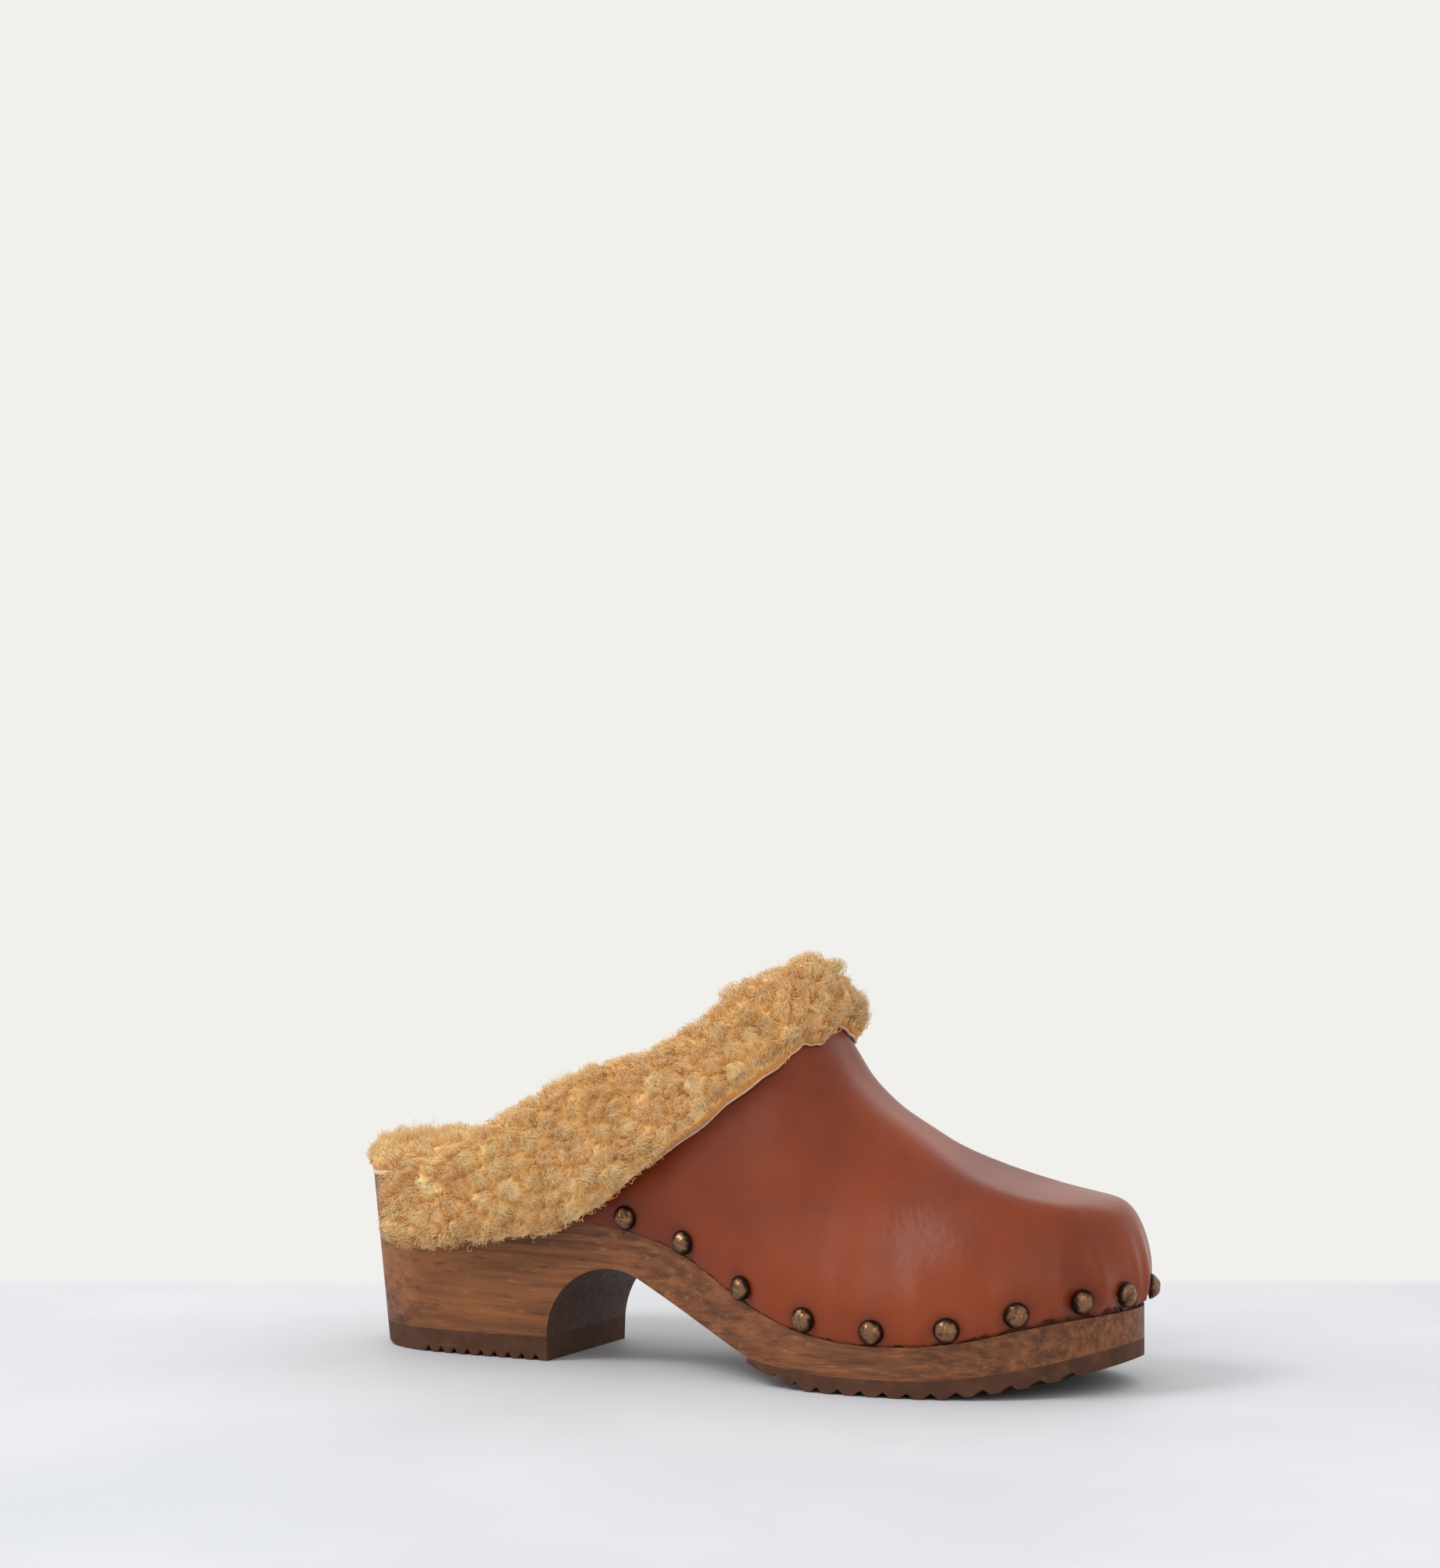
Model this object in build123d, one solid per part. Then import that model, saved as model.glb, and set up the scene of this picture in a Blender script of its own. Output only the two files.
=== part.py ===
from build123d import *
import os
from math import cos, pi, radians, sin, tan
import numpy as np

# Shearling-lined clog for the right foot, one rigid wooden sole with a nailed
# leather vamp. Millimetres. +X runs from heel to toe, +Y to the big-toe side,
# +Z up. The origin is on the floor, under the middle of the whole clog.

# ---- overall sizes -------------------------------------------------------
SOLE_LENGTH = 261.5        # wood, heel back to toe tip
SOLE_WIDTH = 93.0          # wood, across the ball
HEEL_EDGE_Z = 46.8         # lower edge of the leather beside the heel
BALL_EDGE_Z = 15.2         # lower edge of the leather at the ball
TOE_SPRING = 8.9           # how far the edge climbs again to the toe tip
INSTEP_Z = 118.0           # leather at the middle of the throat
TOE_BOX_Z = 57.0           # leather on top of the toe

# ---- wooden sole ---------------------------------------------------------
FOOTBED_RISE = 11.0        # footbed above the leather's lower edge
BLOCK_ABOVE_FOOTBED = 3.0  # the block it is cut from is this much taller
HEEL_SEAT_DROP = 3.4       # footbed lower at the heel back than beside the heel
HEEL_LENGTH = 76.5         # heel back to heel breast
HEEL_HALF_WIDTH = 32.1     # where the heel's taper is measured
ARCH_RADIUS = 24.0         # hollow of the heel breast
ARCH_CREST_Z = 31.0        # underside of the shank at its highest
SHANK_ANGLE = 25.5         # degrees, underside of the shank going down
HEEL_SIDE_TAPER = 4.4      # each side of the heel, from footbed to floor
HEEL_BACK_TAPER = 6.5      # heel back, from footbed to floor
REBATE_CLEARANCE = 0.05    # between the leather and the wall it is nailed to
LIFT_CLEARANCE = 0.25      # the lift's seat runs this far past the heel breast
CUT_OVERRUN = 40.0         # cutting solids run at least this far past the clog
RUNOUT = 0.06              # and layers this share of the length past its ends

# ---- surface of the upper ------------------------------------------------
SHOULDER = 0.94            # width of its rounding, as a share of the half width beside it
TOE_SHOULDER = 11.0        # width of the rounding at the toe tip
TOE_BULGE = 0.4            # extra swell of the toe wall
TOE_CROWN = 4.5            # the toe box falls this far to its sides
BULGE_HEIGHT = 12.0        # the wall swells most this far above its edge
RIDGE_Y = 3.0              # the ridge lies this far to the inner side
TOP_CURVE = (2.05, 0.6)    # how square the top is, and how much more at the toe
FOOT_CURVE = (1.25, 1.2)   # how upright the foot of the wall is, and how much more at the toe
TOE_ROWS_STRAIGHT = 0.8    # how straight the grid's lines run back from the toe
# Half width of the upper's rounding: share of the length, share of half the width.
HALF_WIDTHS = [(0.0, 0.66), (0.30, 0.69), (0.43, 0.71), (0.68, 0.985), (1.0, 0.985)]
# Where a grid line meets the topline, by where it starts on the lower edge.
RIM = [(0.0, 0.0), (0.19, 0.30), (0.288, 0.404), (0.378, 0.459), (0.5, 0.5)]

# ---- rubber --------------------------------------------------------------
LIFT_THICKNESS = 7.6       # heel top lift
LIFT_GROOVE_PITCH = 5.0
LIFT_GROOVE_WIDTH = 3.3
LIFT_GROOVE_DEPTH = 2.2
LIFT_GROOVES = 9
LIFT_GROOVE_START = 4.2    # first groove behind the heel breast
LIFT_BACK_BEVEL = 2.6      # worn-in bevel at the back of the lift
LIFT_BEVEL_RUN = 20.8      # how far forward it fades out
OUTSOLE_START = 153.5      # rear end of the forepart outsole
OUTSOLE_LIP = 1.6          # its step down from the wood there
OUTSOLE_THICKNESS = 5.3
TREAD_PITCH = 7.2
TREAD_GROOVE_WIDTH = 5.2
TREAD_DEPTH = 1.9
TREAD_START = 10.5         # first groove ahead of the outsole's rear end
TREAD_END = 0.985          # the last groove lies behind this share of the length
GROOVE_OVERCUT = 0.1       # the cutting prisms start this far under the tread
TREAD_LEAD = (0.30, 0.23)  # share of the outsole that comes down from the shank, top and bottom
TREAD_SPRING_START = 0.5   # from here it climbs to the toe

# ---- upper ---------------------------------------------------------------
LEATHER = 2.2              # thickness
LEATHER_REAR = 38.0        # where the vamp ends beside the heel
SIDE_BULGE = 2.2           # how far the leather swells past the sole
LINING_WOOL_RISE = 4.0     # the lining's wool leans in, so it starts this far above the footbed
LINING_REAR = 76.0         # the lining ends beside the foot, where the cuff reaches the footbed
PUFF = 0.9                 # toe stiffener between leather and lining
PUFF_LENGTH = 42.0         # from the toe tip back
PUFF_LEAST = 6.0           # and at least this far up from the footbed
PUFF_RAMP = (14.0, 2.0)    # the lining steps in over the puff between these distances behind it
SKIN = 1.0                 # hide of the sheepskin
VAMP_PILE = 6.5            # wool inside the vamp
CUFF_PILE = 8.0            # wool on the turned-down cuff
CUFF_EDGE_PILE = 0.62      # share of it left at the free edge
CUFF_END_PILE = 0.45       # and at the cuff's rear ends
CUFF_REAR = 25.0           # rear ends of the cuff
CUFF_INSIDE = 9.0          # how far the cuff's hide turns down inside
CUFF_INSIDE_LEAST = 0.6    # where the footbed leaves it no room
CUFF_OVER_WOOD = 30.0      # the cuff may hang this far below the leather's edge
SOCK_PILE = 9.0            # wool of the insole sheepskin
INSOLE_CLEARANCE = 2.0     # and this far inside the wool beside it
INSOLE_INSET = 0.4         # the insole ends this far inside the wood's edge
LAYER_GAP = 0.05           # between glued layers

# ---- dome nails ----------------------------------------------------------
NAIL_HEAD_DIAMETER = 7.8
NAIL_HEAD_HEIGHT = 2.9
NAIL_SHANK_DIAMETER = 2.0
NAIL_SHANK_LENGTH = 12.0
NAIL_ABOVE_EDGE = 4.3      # head centre above the leather's lower edge
NAIL_TILT = 0.3            # share of the leather's slope that the nails follow
TOE_NAIL_AIM = 0.62        # a nail that points this much forward is a toe nail
# Gaps along the edge, from the foremost point to the first nail and on to the rear.
OUTER_NAIL_GAPS = [13.0, 17.5, 21.0, 21.0, 22.7, 22.8, 24.3, 26.0, 23.3, 20.2, 21.0]
INNER_NAIL_GAPS = [6.5, 21.0, 22.0, 22.0, 22.5, 23.0, 23.0, 23.0, 22.5, 22.5, 21.5]
NAIL_SEAT = 0.08           # the head's rim stands this far off the leather's crown
HOLE_CLEARANCE = 0.02

# Plan of the sole, as shares of its length and half width, heel back first,
# then along the outer (little toe) side to the toe and back along the inner side.
PLAN = [(0.004, 0.02), (0.020, -0.36), (0.084, -0.613), (0.172, -0.688), (0.306, -0.690),
        (0.421, -0.710), (0.543, -0.84), (0.677, -0.985), (0.811, -0.935), (0.918, -0.655),
        (0.979, -0.258), (1.0, 0.107), (0.987, 0.473), (0.918, 0.817), (0.776, 0.99),
        (0.620, 0.893), (0.459, 0.667), (0.306, 0.634), (0.172, 0.667), (0.076, 0.60),
        (0.017, 0.345)]
# Lower edge of the leather: share of the heel rise, and of the toe spring.
HEEL_RISE = [(0.0, 1.0), (0.30, 0.985), (0.398, 0.905), (0.467, 0.785), (0.525, 0.57),
             (0.56, 0.41), (0.593, 0.27), (0.631, 0.15), (0.67, 0.065), (0.707, 0.02),
             (0.75, 0.0), (1.1, 0.0)]
TOE_RISE = [(0.0, 0.0), (0.75, 0.0), (0.80, 0.04), (0.837, 0.16), (0.87, 0.33),
            (0.902, 0.55), (0.93, 0.73), (0.96, 0.88), (1.0, 1.0), (1.1, 1.2)]
# Ridge of the upper: share of the climb from the toe box to the throat.
RIDGE = [(-0.1, 1.62), (0.30, 1.50), (0.46, 1.34), (0.56, 1.15), (0.600, 1.0), (0.634, 0.77),
         (0.66, 0.595), (0.70, 0.437), (0.74, 0.325), (0.78, 0.225), (0.82, 0.147),
         (0.86, 0.086), (0.90, 0.038), (0.94, 0.008), (0.98, -0.01), (1.05, -0.02)]
# Topline in side view: share of the climb from the heel seat to the throat.
TOPLINE = [(0.0, 0.0), (0.10, 0.003), (0.145, 0.02), (0.205, 0.095), (0.245, 0.19), (0.29, 0.30),
           (0.34, 0.425), (0.394, 0.53), (0.466, 0.64), (0.512, 0.75), (0.547, 0.875),
           (0.575, 0.965), (0.600, 1.0), (0.7, 1.3)]
HEEL_TOPLINE_Z = 57.5      # topline at the rear ends of the cuff
THROAT = 0.600             # where ridge and topline meet, share of the length
# Depth of the cuff over the leather, along the topline from its rear end.
CUFF_DEPTH = [(0.0, 19.0), (0.06, 20.0), (0.115, 23.5), (0.173, 29.0), (0.235, 34.0), (0.29, 35.0),
              (0.35, 31.0), (0.405, 26.0), (0.465, 22.5), (0.55, 21.8), (0.64, 21.8), (0.75, 20.4),
              (1.0, 18.8)]


def through(table, x):
    """Smooth monotone curve through a table of (x, value) pairs."""
    px = np.array([p[0] for p in table], float)
    py = np.array([p[1] for p in table], float)
    step = np.diff(px)
    slope = np.diff(py) / step
    tangent = np.zeros_like(py)
    tangent[0] = slope[0]
    tangent[-1] = slope[-1]
    for i in range(1, len(px) - 1):
        if slope[i - 1] * slope[i] > 0:
            w1 = 2 * step[i] + step[i - 1]
            w2 = step[i] + 2 * step[i - 1]
            tangent[i] = (w1 + w2) / (w1 / slope[i - 1] + w2 / slope[i])
    x = np.clip(np.asarray(x, float), px[0], px[-1])
    k = np.clip(np.searchsorted(px, x) - 1, 0, len(px) - 2)
    h = step[k]
    s = (x - px[k]) / h
    return ((1 + 2 * s) * (1 - s) ** 2 * py[k] + s * (1 - s) ** 2 * h * tangent[k]
            + s * s * (3 - 2 * s) * py[k + 1] + s * s * (s - 1) * h * tangent[k + 1])


def smoothstep(low, high, x):
    s = np.clip((np.asarray(x, float) - low) / (high - low), 0, 1)
    return s * s * (3 - 2 * s)


def closed_curve(points, count):
    """Periodic cubic spline through points, sampled evenly along its length."""
    points = np.array(points, float)
    n = len(points)
    matrix = 4 * np.eye(n) + np.roll(np.eye(n), 1, 0) + np.roll(np.eye(n), -1, 0)
    tangent = np.linalg.solve(matrix, 3 * (np.roll(points, -1, 0) - np.roll(points, 1, 0)))
    u = np.linspace(0, n, 60 * n, endpoint=False)
    k = u.astype(int)
    s = (u - k)[:, None]
    following = (k + 1) % n
    dense = ((1 + 2 * s) * (1 - s) ** 2 * points[k] + s * (1 - s) ** 2 * tangent[k]
             + s * s * (3 - 2 * s) * points[following] + s * s * (s - 1) * tangent[following])
    return resample(np.vstack([dense, dense[:1]]), count + 1)[:-1]


def resample(line, count):
    """The same line with count points, evenly spaced along its length."""
    length = np.concatenate([[0], np.cumsum(np.linalg.norm(np.diff(line, axis=0), axis=1))])
    wanted = np.linspace(0, length[-1], count)
    return np.stack([np.interp(wanted, length, line[:, i]) for i in range(line.shape[1])], 1)


# ---- lines in side view --------------------------------------------------
def edge_z(x):
    """Lower edge of the leather."""
    u = np.asarray(x, float) / SOLE_LENGTH
    heel = (HEEL_EDGE_Z - BALL_EDGE_Z) * through(HEEL_RISE, u)
    return BALL_EDGE_Z + heel + TOE_SPRING * through(TOE_RISE, u)


def footbed_z(x):
    u = np.asarray(x, float) / SOLE_LENGTH
    return edge_z(x) + FOOTBED_RISE - HEEL_SEAT_DROP * np.clip(1 - u / 0.25, 0, 1.2) ** 2


def ridge_z(x):
    """Top of the upper on its centre line, carried on over the opening."""
    return TOE_BOX_Z + (INSTEP_Z - TOE_BOX_Z) * through(RIDGE, np.asarray(x, float) / SOLE_LENGTH)


def topline_z(x):
    climb = through(TOPLINE, np.asarray(x, float) / SOLE_LENGTH)
    return HEEL_TOPLINE_Z + (INSTEP_Z - HEEL_TOPLINE_Z) * climb


# ---- plan of the sole ----------------------------------------------------
OUTLINE = closed_curve([(u * SOLE_LENGTH, w * SOLE_WIDTH / 2) for u, w in PLAN], 900)


def inward(outline):
    """Unit normals of a closed plan outline, towards its inside."""
    tangent = np.roll(outline, -1, 0) - np.roll(outline, 1, 0)
    normal = np.stack([-tangent[:, 1], tangent[:, 0]], 1)
    normal /= np.linalg.norm(normal, axis=1)[:, None]
    middle = outline.mean(0)
    return normal if ((middle - outline) * normal).sum() > 0 else -normal


OUTLINE_IN = inward(OUTLINE)


# ---- surface of the upper ------------------------------------------------
def cross_section(xc):
    """Shoulder width and the two exponents of the section, by place on the sole's edge."""
    places, shares = np.array(HALF_WIDTHS).T
    half = np.interp(xc / SOLE_LENGTH, places, shares) * SOLE_WIDTH / 2
    toe = smoothstep(0.76 * SOLE_LENGTH, SOLE_LENGTH, xc)
    width = SHOULDER * half * (1 - toe) + TOE_SHOULDER * toe
    top = TOP_CURVE[0] + TOP_CURVE[1] * toe
    foot = FOOT_CURVE[0] + FOOT_CURVE[1] * smoothstep(0.72 * SOLE_LENGTH, 0.96 * SOLE_LENGTH, xc)
    return width, top, foot


def surface_point(plan):
    """Points of the leather's outer surface above plan points inside the sole."""
    gap = np.linalg.norm(plan[:, None, :] - OUTLINE[None, :, :], axis=2)
    nearest = gap.argmin(1)
    depth = np.abs(((plan - OUTLINE[nearest]) * OUTLINE_IN[nearest]).sum(1))
    xc = OUTLINE[nearest, 0]
    width, top, foot = cross_section(xc)
    share = (1 - (1 - np.clip(depth / width, 0, 1)) ** top) ** (1 / foot)
    side = (plan[:, 1] - RIDGE_Y) / (SOLE_WIDTH / 2)
    crown = TOE_CROWN * smoothstep(0.65 * SOLE_LENGTH, 0.9 * SOLE_LENGTH, plan[:, 0]) * side ** 2
    low = edge_z(xc)
    z = low + (ridge_z(plan[:, 0]) - crown - low) * share
    height = (z - low) / BULGE_HEIGHT
    swell = SIDE_BULGE * smoothstep(0.2 * SOLE_LENGTH, 0.55 * SOLE_LENGTH, xc)
    swell = swell + TOE_BULGE * smoothstep(0.88 * SOLE_LENGTH, SOLE_LENGTH, xc)
    swell = swell * height * np.exp(1 - height) * (1 - np.clip(depth / width, 0, 1) ** 2)
    out = -swell[:, None] * OUTLINE_IN[nearest]
    return np.column_stack([plan + out, z])


def feather_and_rim():
    """Plan lines of the vamp's lower edge and of the topline, outer rear to inner rear."""
    ahead = np.flatnonzero(OUTLINE[:, 0] >= CUFF_REAR)
    feather = OUTLINE[ahead[0]:ahead[-1] + 1]
    inner = OUTLINE_IN[ahead[0]:ahead[-1] + 1]
    x = feather[:, 0]
    width, top, foot = cross_section(x)
    depth = np.zeros_like(x)
    for _ in range(60):
        at = x + depth * inner[:, 0]
        climb = np.clip((topline_z(at) - edge_z(x)) / (ridge_z(at) - edge_z(x)), 0, 1)
        depth = 0.5 * depth + 0.5 * width * (1 - (1 - climb ** foot) ** (1 / top))
    behind = x + depth * inner[:, 0] <= THROAT * SOLE_LENGTH
    rim = (feather + depth[:, None] * inner)[behind]
    return resample(feather, LINE_POINTS), resample(rim, LINE_POINTS)


LINE_POINTS = 1201
FEATHER, RIM_LINE = feather_and_rim()


def upper_grid(t, v):
    """Outer surface: t runs round the sole from outer to inner rear, v from edge to topline."""
    half = np.minimum(t, 1 - t)
    along = np.where(t < 0.5, through(RIM, half), 1 - through(RIM, half))
    grid = np.linspace(0, 1, LINE_POINTS)
    start = np.stack([np.interp(t, grid, FEATHER[:, i]) for i in (0, 1)], 1)
    end = np.stack([np.interp(along, grid, RIM_LINE[:, i]) for i in (0, 1)], 1)
    tangent = np.stack([np.interp(t, grid, np.gradient(FEATHER[:, i])) for i in (0, 1)], 1)
    inside = np.stack([-tangent[:, 1], tangent[:, 0]], 1)
    inside /= np.linalg.norm(inside, axis=1)[:, None]
    if inside[len(t) // 2, 0] > 0:
        inside = -inside
    reach = np.linalg.norm(end - start, axis=1)[:, None]
    straight = TOE_ROWS_STRAIGHT * smoothstep(0.25, 0.42, half)[:, None]
    leave = (1 - straight) * inside + straight * (end - start) / reach
    middle = start + 0.5 * reach * leave / np.linalg.norm(leave, axis=1)[:, None]
    u = (v ** 2)[None, :, None]
    plan = (1 - u) ** 2 * start[:, None] + 2 * u * (1 - u) * middle[:, None] + u ** 2 * end[:, None]
    return surface_point(plan.reshape(-1, 2)).reshape(len(t), len(v), 3)


def normals(grid):
    """Outward unit normals of a surface grid."""
    across = np.cross(np.gradient(grid, axis=0), np.gradient(grid, axis=1))
    return across / np.linalg.norm(across, axis=2)[:, :, None]


def span(rows, row_normals, low, high, count):
    """Points and normals of each row between two distances along it."""
    points = np.empty((len(rows), count, 3))
    directions = np.empty_like(points)
    for i, row in enumerate(rows):
        length = np.concatenate([[0], np.cumsum(np.linalg.norm(np.diff(row, axis=0), axis=1))])
        wanted = np.linspace(low[i], high[i], count)
        for k in range(3):
            points[i, :, k] = np.interp(wanted, length, row[:, k])
            directions[i, :, k] = np.interp(wanted, length, row_normals[i, :, k])
    return points, directions / np.linalg.norm(directions, axis=2)[:, :, None]


def lengths(rows):
    return np.linalg.norm(np.diff(rows, axis=1), axis=2).sum(1)


def height_reached(rows, level):
    """Distance along each row at which it first reaches a height, one height per row."""
    step = np.linalg.norm(np.diff(rows, axis=1), axis=2)
    length = np.concatenate([np.zeros((len(rows), 1)), np.cumsum(step, axis=1)], axis=1)
    return np.array([np.interp(z, row[:, 2], s) for z, row, s in zip(level, rows, length)])


# ==== solids ==============================================================
def face_through(grid):
    """Smooth face through the rows of a grid."""
    step = np.linalg.norm(np.diff(grid, axis=1), axis=2).mean(0)
    places = [float(u) for u in np.concatenate([[0], np.cumsum(step)]) / step.sum()]
    wires = [Wire([Edge.make_spline([Vector(*map(float, p)) for p in row], parameters=places)])
             for row in grid]
    return Shell.make_loft(wires).faces()[0]


def border(face, line):
    """The edge of a face that runs along a line of grid points."""
    middle = Vertex(*map(float, line[len(line) // 2]))
    return min(face.edges(), key=lambda edge: edge.distance_to(middle))


def slab(near, far):
    """Closed solid between two grids of the same size."""
    front, back = face_through(near), face_through(far)
    sides = [Face.make_surface_from_curves(border(front, line(near)), border(back, line(far)))
             for line in (lambda g: g[0], lambda g: g[-1], lambda g: g[:, 0], lambda g: g[:, -1])]
    return Solid(Shell([front, back] + sides))


def plan_wire(points, z):
    return Wire([Spline([Vector(float(x), float(y), z) for x, y in points], periodic=True)])


def across(points_low, points_high):
    """Solid between two lines in side view, right across the sole."""
    low = Spline([(float(x), 0, float(z)) for x, z in points_low])
    high = Spline([(float(x), 0, float(z)) for x, z in points_high])
    outline = Wire([low, Line(low @ 1, high @ 1), high, Line(high @ 0, low @ 0)])
    return extrude(Face(outline), amount=SOLE_WIDTH, dir=(0, 1, 0), both=True)


def column(points):
    """Upright column on a closed plan outline, from below the floor to above the wood."""
    height = HEEL_TOPLINE_Z + 2 * CUT_OVERRUN
    return extrude(Face(plan_wire(points, -CUT_OVERRUN)), amount=height, dir=(0, 0, 1))


def past_sole(count, start=-RUNOUT * SOLE_LENGTH):
    """Stations from a place behind or on the sole to just past its toe."""
    return np.linspace(start, (1 + RUNOUT) * SOLE_LENGTH, count)


SAMPLE = OUTLINE[::10]
SAMPLE_IN = OUTLINE_IN[::10]
ROW_T = np.linspace(0, 1, 53)
ROW_V = np.linspace(0, 1, 41)


def sole_block():
    """Everything inside the outline, from the floor up: the heel narrows downwards."""
    heel = 1 - smoothstep(0.3 * SOLE_LENGTH, 0.57 * SOLE_LENGTH, SAMPLE[:, 0])
    back = np.clip(1 - SAMPLE[:, 0] / (0.23 * SOLE_LENGTH), 0, 1) ** 2
    floor_line = np.column_stack([SAMPLE[:, 0] + HEEL_BACK_TAPER * back,
                                  SAMPLE[:, 1] * (1 - HEEL_SIDE_TAPER / HEEL_HALF_WIDTH * heel)])
    top = HEEL_EDGE_Z + FOOTBED_RISE + BLOCK_ABOVE_FOOTBED
    return Solid.make_loft([plan_wire(floor_line, 0), plan_wire(SAMPLE, top)], ruled=True)


def tread_start_z():
    """Height of the shank's underside where the forepart rubber starts."""
    lean = radians(SHANK_ANGLE)
    leave_x = HEEL_LENGTH + ARCH_RADIUS * (1 + sin(lean))
    leave_z = ARCH_CREST_Z - ARCH_RADIUS * (1 - cos(lean))
    return leave_z - (OUTSOLE_START - leave_x) * tan(lean)


def toe_climb(u):
    """0 under the ball, 1 at the toe tip."""
    return np.clip((u - TREAD_SPRING_START) / (1 - TREAD_SPRING_START), 0, 1 + 2 * RUNOUT)


def tread_top(x):
    """Top of the forepart rubber, from the shank's end to the toe."""
    u = (np.asarray(x, float) - OUTSOLE_START) / (SOLE_LENGTH - OUTSOLE_START)
    lead = (tread_start_z() - OUTSOLE_THICKNESS) * np.clip(1 - u / TREAD_LEAD[0], 0, 1) ** 2
    return OUTSOLE_THICKNESS + lead + TOE_SPRING * toe_climb(u) ** 1.6


def tread_bottom(x):
    u = (np.asarray(x, float) - OUTSOLE_START) / (SOLE_LENGTH - OUTSOLE_START)
    lead = (tread_start_z() - OUTSOLE_LIP) * np.clip(1 - u / TREAD_LEAD[1], 0, 1) ** 1.5
    return lead + TOE_SPRING * toe_climb(u) ** 1.75


def shank_hollow():
    """The space under the shank, from the heel breast to the forepart rubber."""
    centre = Vector(HEEL_LENGTH + ARCH_RADIUS, 0, ARCH_CREST_Z - ARCH_RADIUS)
    lean = radians(SHANK_ANGLE)
    foot = centre - Vector(ARCH_RADIUS, 0, 0)
    leave = centre + Vector(sin(lean), 0, cos(lean)) * ARCH_RADIUS
    turn = (pi / 2 + lean) / 2
    middle = centre + Vector(-cos(turn), 0, sin(turn)) * ARCH_RADIUS
    start = Vector(OUTSOLE_START, 0, tread_start_z())
    rear_floor = Vector(HEEL_LENGTH, 0, -CUT_OVERRUN)
    front_floor = Vector(OUTSOLE_START, 0, -CUT_OVERRUN)
    outline = Wire([Line(rear_floor, foot), ThreePointArc(foot, middle, leave), Line(leave, start),
                    Line(start, front_floor), Line(front_floor, rear_floor)])
    return extrude(Face(outline), amount=SOLE_WIDTH, dir=(0, 1, 0), both=True)


def level_line(xs, z):
    """Level line over the ends of the stations."""
    return [(xs[0], z), (xs[-1], z)]


def lift_box(margin):
    """Box over the heel's foot, from the floor up, past the breast by a margin."""
    box = Box(HEEL_LENGTH + margin + CUT_OVERRUN, 2 * SOLE_WIDTH, LIFT_THICKNESS,
              align=(Align.MAX, Align.CENTER, Align.MIN))
    return Pos(HEEL_LENGTH + margin, 0, 0) * box


def wooden_sole(block, hollow):
    whole = past_sole(40)
    under_footbed = across(level_line(whole, -CUT_OVERRUN), np.column_stack([whole, footbed_z(whole)]))
    fore = past_sole(16, OUTSOLE_START)
    rubber_space = across(level_line(fore, -CUT_OVERRUN), np.column_stack([fore, tread_top(fore)]))
    wood = (block & under_footbed) - hollow - rubber_space - lift_box(LIFT_CLEARANCE)
    nailed = past_sole(40, LEATHER_REAR - REBATE_CLEARANCE)
    above_edge = across(np.column_stack([nailed, edge_z(nailed) - REBATE_CLEARANCE]),
                        level_line(nailed, HEEL_TOPLINE_Z + CUT_OVERRUN))
    return wood - (above_edge - column(SAMPLE + (LEATHER + REBATE_CLEARANCE) * SAMPLE_IN))


def v_grooves(xs, zs, width, depth):
    """Prisms across the sole that cut V grooves, at points on the tread."""
    cuts = []
    for x, z in zip(xs, zs):
        x, z = float(x), float(z)
        tip = Polyline((x - width / 2, 0, z), (x, 0, z + depth), (x + width / 2, 0, z),
                       (x, 0, z - depth), (x - width / 2, 0, z))
        cuts.append(extrude(Face(Wire(tip.edges())), amount=SOLE_WIDTH, dir=(0, 1, 0), both=True))
    return cuts


def heel_top_lift(block, hollow):
    xs = [HEEL_LENGTH - LIFT_GROOVE_START - LIFT_GROOVE_PITCH * i for i in range(LIFT_GROOVES)]
    back = HEEL_BACK_TAPER
    behind = back - CUT_OVERRUN
    front = back + LIFT_BEVEL_RUN
    bevel = Polyline((behind, 0, -CUT_OVERRUN), (behind, 0, 2 * LIFT_BACK_BEVEL), (back, 0, LIFT_BACK_BEVEL),
                     (back + LIFT_BEVEL_RUN / 3, 0, LIFT_BACK_BEVEL / 4), (front, 0, 0),
                     (front, 0, -CUT_OVERRUN), (behind, 0, -CUT_OVERRUN))
    worn = extrude(Face(Wire(bevel.edges())), amount=SOLE_WIDTH, dir=(0, 1, 0), both=True)
    lift = (block & lift_box(0)) - hollow - worn
    for cut in v_grooves(xs, [0] * LIFT_GROOVES, LIFT_GROOVE_WIDTH, LIFT_GROOVE_DEPTH):
        lift -= cut
    return lift


def forepart_outsole(block):
    xs = past_sole(24, OUTSOLE_START)
    rubber = block & across(np.column_stack([xs, tread_bottom(xs)]), np.column_stack([xs, tread_top(xs)]))
    grooves = np.arange(OUTSOLE_START + TREAD_START, TREAD_END * SOLE_LENGTH, TREAD_PITCH)
    for cut in v_grooves(grooves, tread_bottom(grooves) - GROOVE_OVERCUT, TREAD_GROOVE_WIDTH, TREAD_DEPTH):
        rubber -= cut
    return rubber


# ---- upper ---------------------------------------------------------------
OUTER = upper_grid(ROW_T, ROW_V)
OUTER_N = normals(OUTER)
ROW_LENGTH = lengths(OUTER)


def rows_between(x_rear):
    """Rows of the grid whose foot on the sole lies ahead of a place beside the heel."""
    ahead = np.flatnonzero(OUTER[:, 0, 0] >= x_rear)
    return slice(ahead[0], ahead[-1] + 1)


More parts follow.
